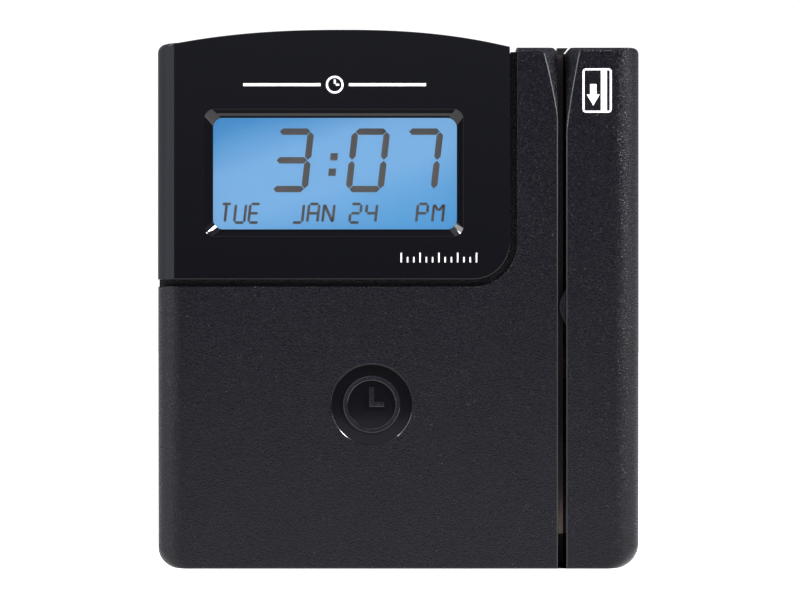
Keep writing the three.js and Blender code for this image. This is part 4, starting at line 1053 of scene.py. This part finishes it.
def bezel_marks():
    """A plain rule broken by a small dial, and a row of ticks below the display."""
    z, middle, rule, hand = 150.7, -19.8, 0.45, 0.3
    shapes = [rectangle(x0, x1, z - rule, z + rule)
              for x0, x1 in ((-48.3, middle - 4.4), (middle + 4.4, 8.6))]
    shapes += circle_shapes(middle, z, 2.75, 2.1)
    shapes.append(rectangle(middle - hand, middle + hand, z - hand, z + 1.6))
    shapes.append(rectangle(middle - hand, middle + 1.4, z - hand, z + hand))
    foot, tick = 95.4, 0.22
    for i in range(13):
        x, tall = 0.9 + 1.95 * i, 3.0 if i % 3 == 0 else 1.7
        shapes.append(rectangle(x - tick, x + tick, foot, foot + tall))
    printed("bezel_marks", shapes, BEZEL.front + PRINT_THICK)


# ---------------------------------------------------------------- stage, lights and camera
def stage():
    mesh = bpy.data.meshes.new("floor")
    reach, near = 9.0, 0.36          # in metres
    corners = [(x, y, 0) for x, y, _ in rectangle(-reach, reach, -near, reach)]
    mesh.from_pydata(corners, [], [(0, 1, 2, 3)])
    floor = bpy.data.objects.new("floor", mesh)
    SCENE.collection.objects.link(floor)
    look = material("pale_floor", (0.5, 0.5, 0.5), 0.9, Emission_Color=(1, 1, 1, 1))
    from_camera = add_node(look, "ShaderNodeLightPath").outputs["Is Camera Ray"]
    feed(look, Emission_Strength=mapped(look, from_camera, 0.0, 1.0, 0.45, 1.2))
    mesh.materials.append(look)
    # the floor under the slot lies in the clock's own shadow
    patch = cuboid("floor_shade", SLOT_LEFT - 1, SLOT_RIGHT + 1, HOUSING.front + 2, REAR.back - 1, 0.01, 0.03)
    patch.data.materials.append(material("floor_shadow", DULL, 0.9))


def area_light(name, place, width, height, power):
    """A rectangular lamp aimed at the clock; metres and watts."""
    light = bpy.data.lights.new(name, "AREA")
    light.shape = "RECTANGLE"
    light.size, light.size_y = width, height
    light.energy = power
    obj = bpy.data.objects.new(name, light)
    obj.location = place
    aim = Vector((0, 0, 0.12)) - Vector(place)
    obj.rotation_euler = aim.to_track_quat("-Z", "Y").to_euler()
    obj.visible_camera = False
    SCENE.collection.objects.link(obj)


def world():
    """A white room behind and beside the clock and a dark one in front; the camera sees it white."""
    made = bpy.data.worlds.new("studio")
    SCENE.world = made
    made.use_nodes = True
    outward = add_node(made, "ShaderNodeTexCoord").outputs["Generated"]
    split = add_node(made, "ShaderNodeSeparateXYZ", Vector=outward)
    turned = calculated(made, "MULTIPLY_ADD", split.outputs["Y"], 0.5, 0.5)
    around = ramp(made, turned, [(0.0, [0.0]), (0.05, [0.0]), (0.14, [1.0]), (0.38, [0.95]), (0.58, [0.62]),
                                 (0.8, [0.4]), (1.0, [0.3])])
    rise = mapped(made, split.outputs["Z"], -0.01, 0.06, 0.06, 0.27)
    dim_right = mapped(made, split.outputs["X"], -0.2, 0.5, 1.08, 0.18)
    sides = calculated(made, "MULTIPLY", around, dim_right)
    front = calculated(made, "MAXIMUM", sides, rise)
    tinted = mixed(made, 1.0, front, (0.96, 0.98, 1.12, 1), "MULTIPLY")
    from_camera = add_node(made, "ShaderNodeLightPath").outputs["Is Camera Ray"]
    seen = mixed(made, from_camera, tinted, (1.1, 1.1, 1.1, 1))
    connect(made, made.node_tree.nodes["Background"].inputs["Color"], seen)


def camera():
    distance = 2.2
    picture_width = 0.2489           # at the bezel's front face
    sensor = 36.0
    data = bpy.data.cameras.new("camera")
    data.sensor_width = sensor
    data.lens = sensor * distance / picture_width
    data.clip_end = 50
    obj = bpy.data.objects.new("camera", data)
    obj.location = (0.0005, BEZEL.front * MM - distance, 0.0837)     # straight in front of the clock's middle
    obj.rotation_euler = (math.pi / 2, 0, 0)
    SCENE.collection.objects.link(obj)
    SCENE.camera = obj


def lights():
    area_light("key", (0.95, -0.67, 1.08), 0.3, 0.3, 40)
    area_light("right_strip", (1.02, -0.3, 0.66), 0.24, 0.7, 7)
    area_light("left_strip", (-1.0, -0.4, 0.62), 0.3, 0.7, 4)
    area_light("rim", (-0.95, -0.67, 1.1), 0.18, 0.18, 5)


# ---------------------------------------------------------------- making
camera()
stage()
lights()
world()

for name, obj in frame["nodes"].items():
    slot = next(s["material_slot"] for s in frame["record"]["subparts"] if s["node"] == name)
    obj.data.materials.clear()
    obj.data.materials.append(SLOTS[slot])

front_housing()
reader_cover()
rear_cover()
display_bezel()
display_characters()
swipe_icon()
bezel_marks()
head_spring("head_spring_1")
head_spring("head_spring_2")

SCENE.view_settings.view_transform = "Standard"
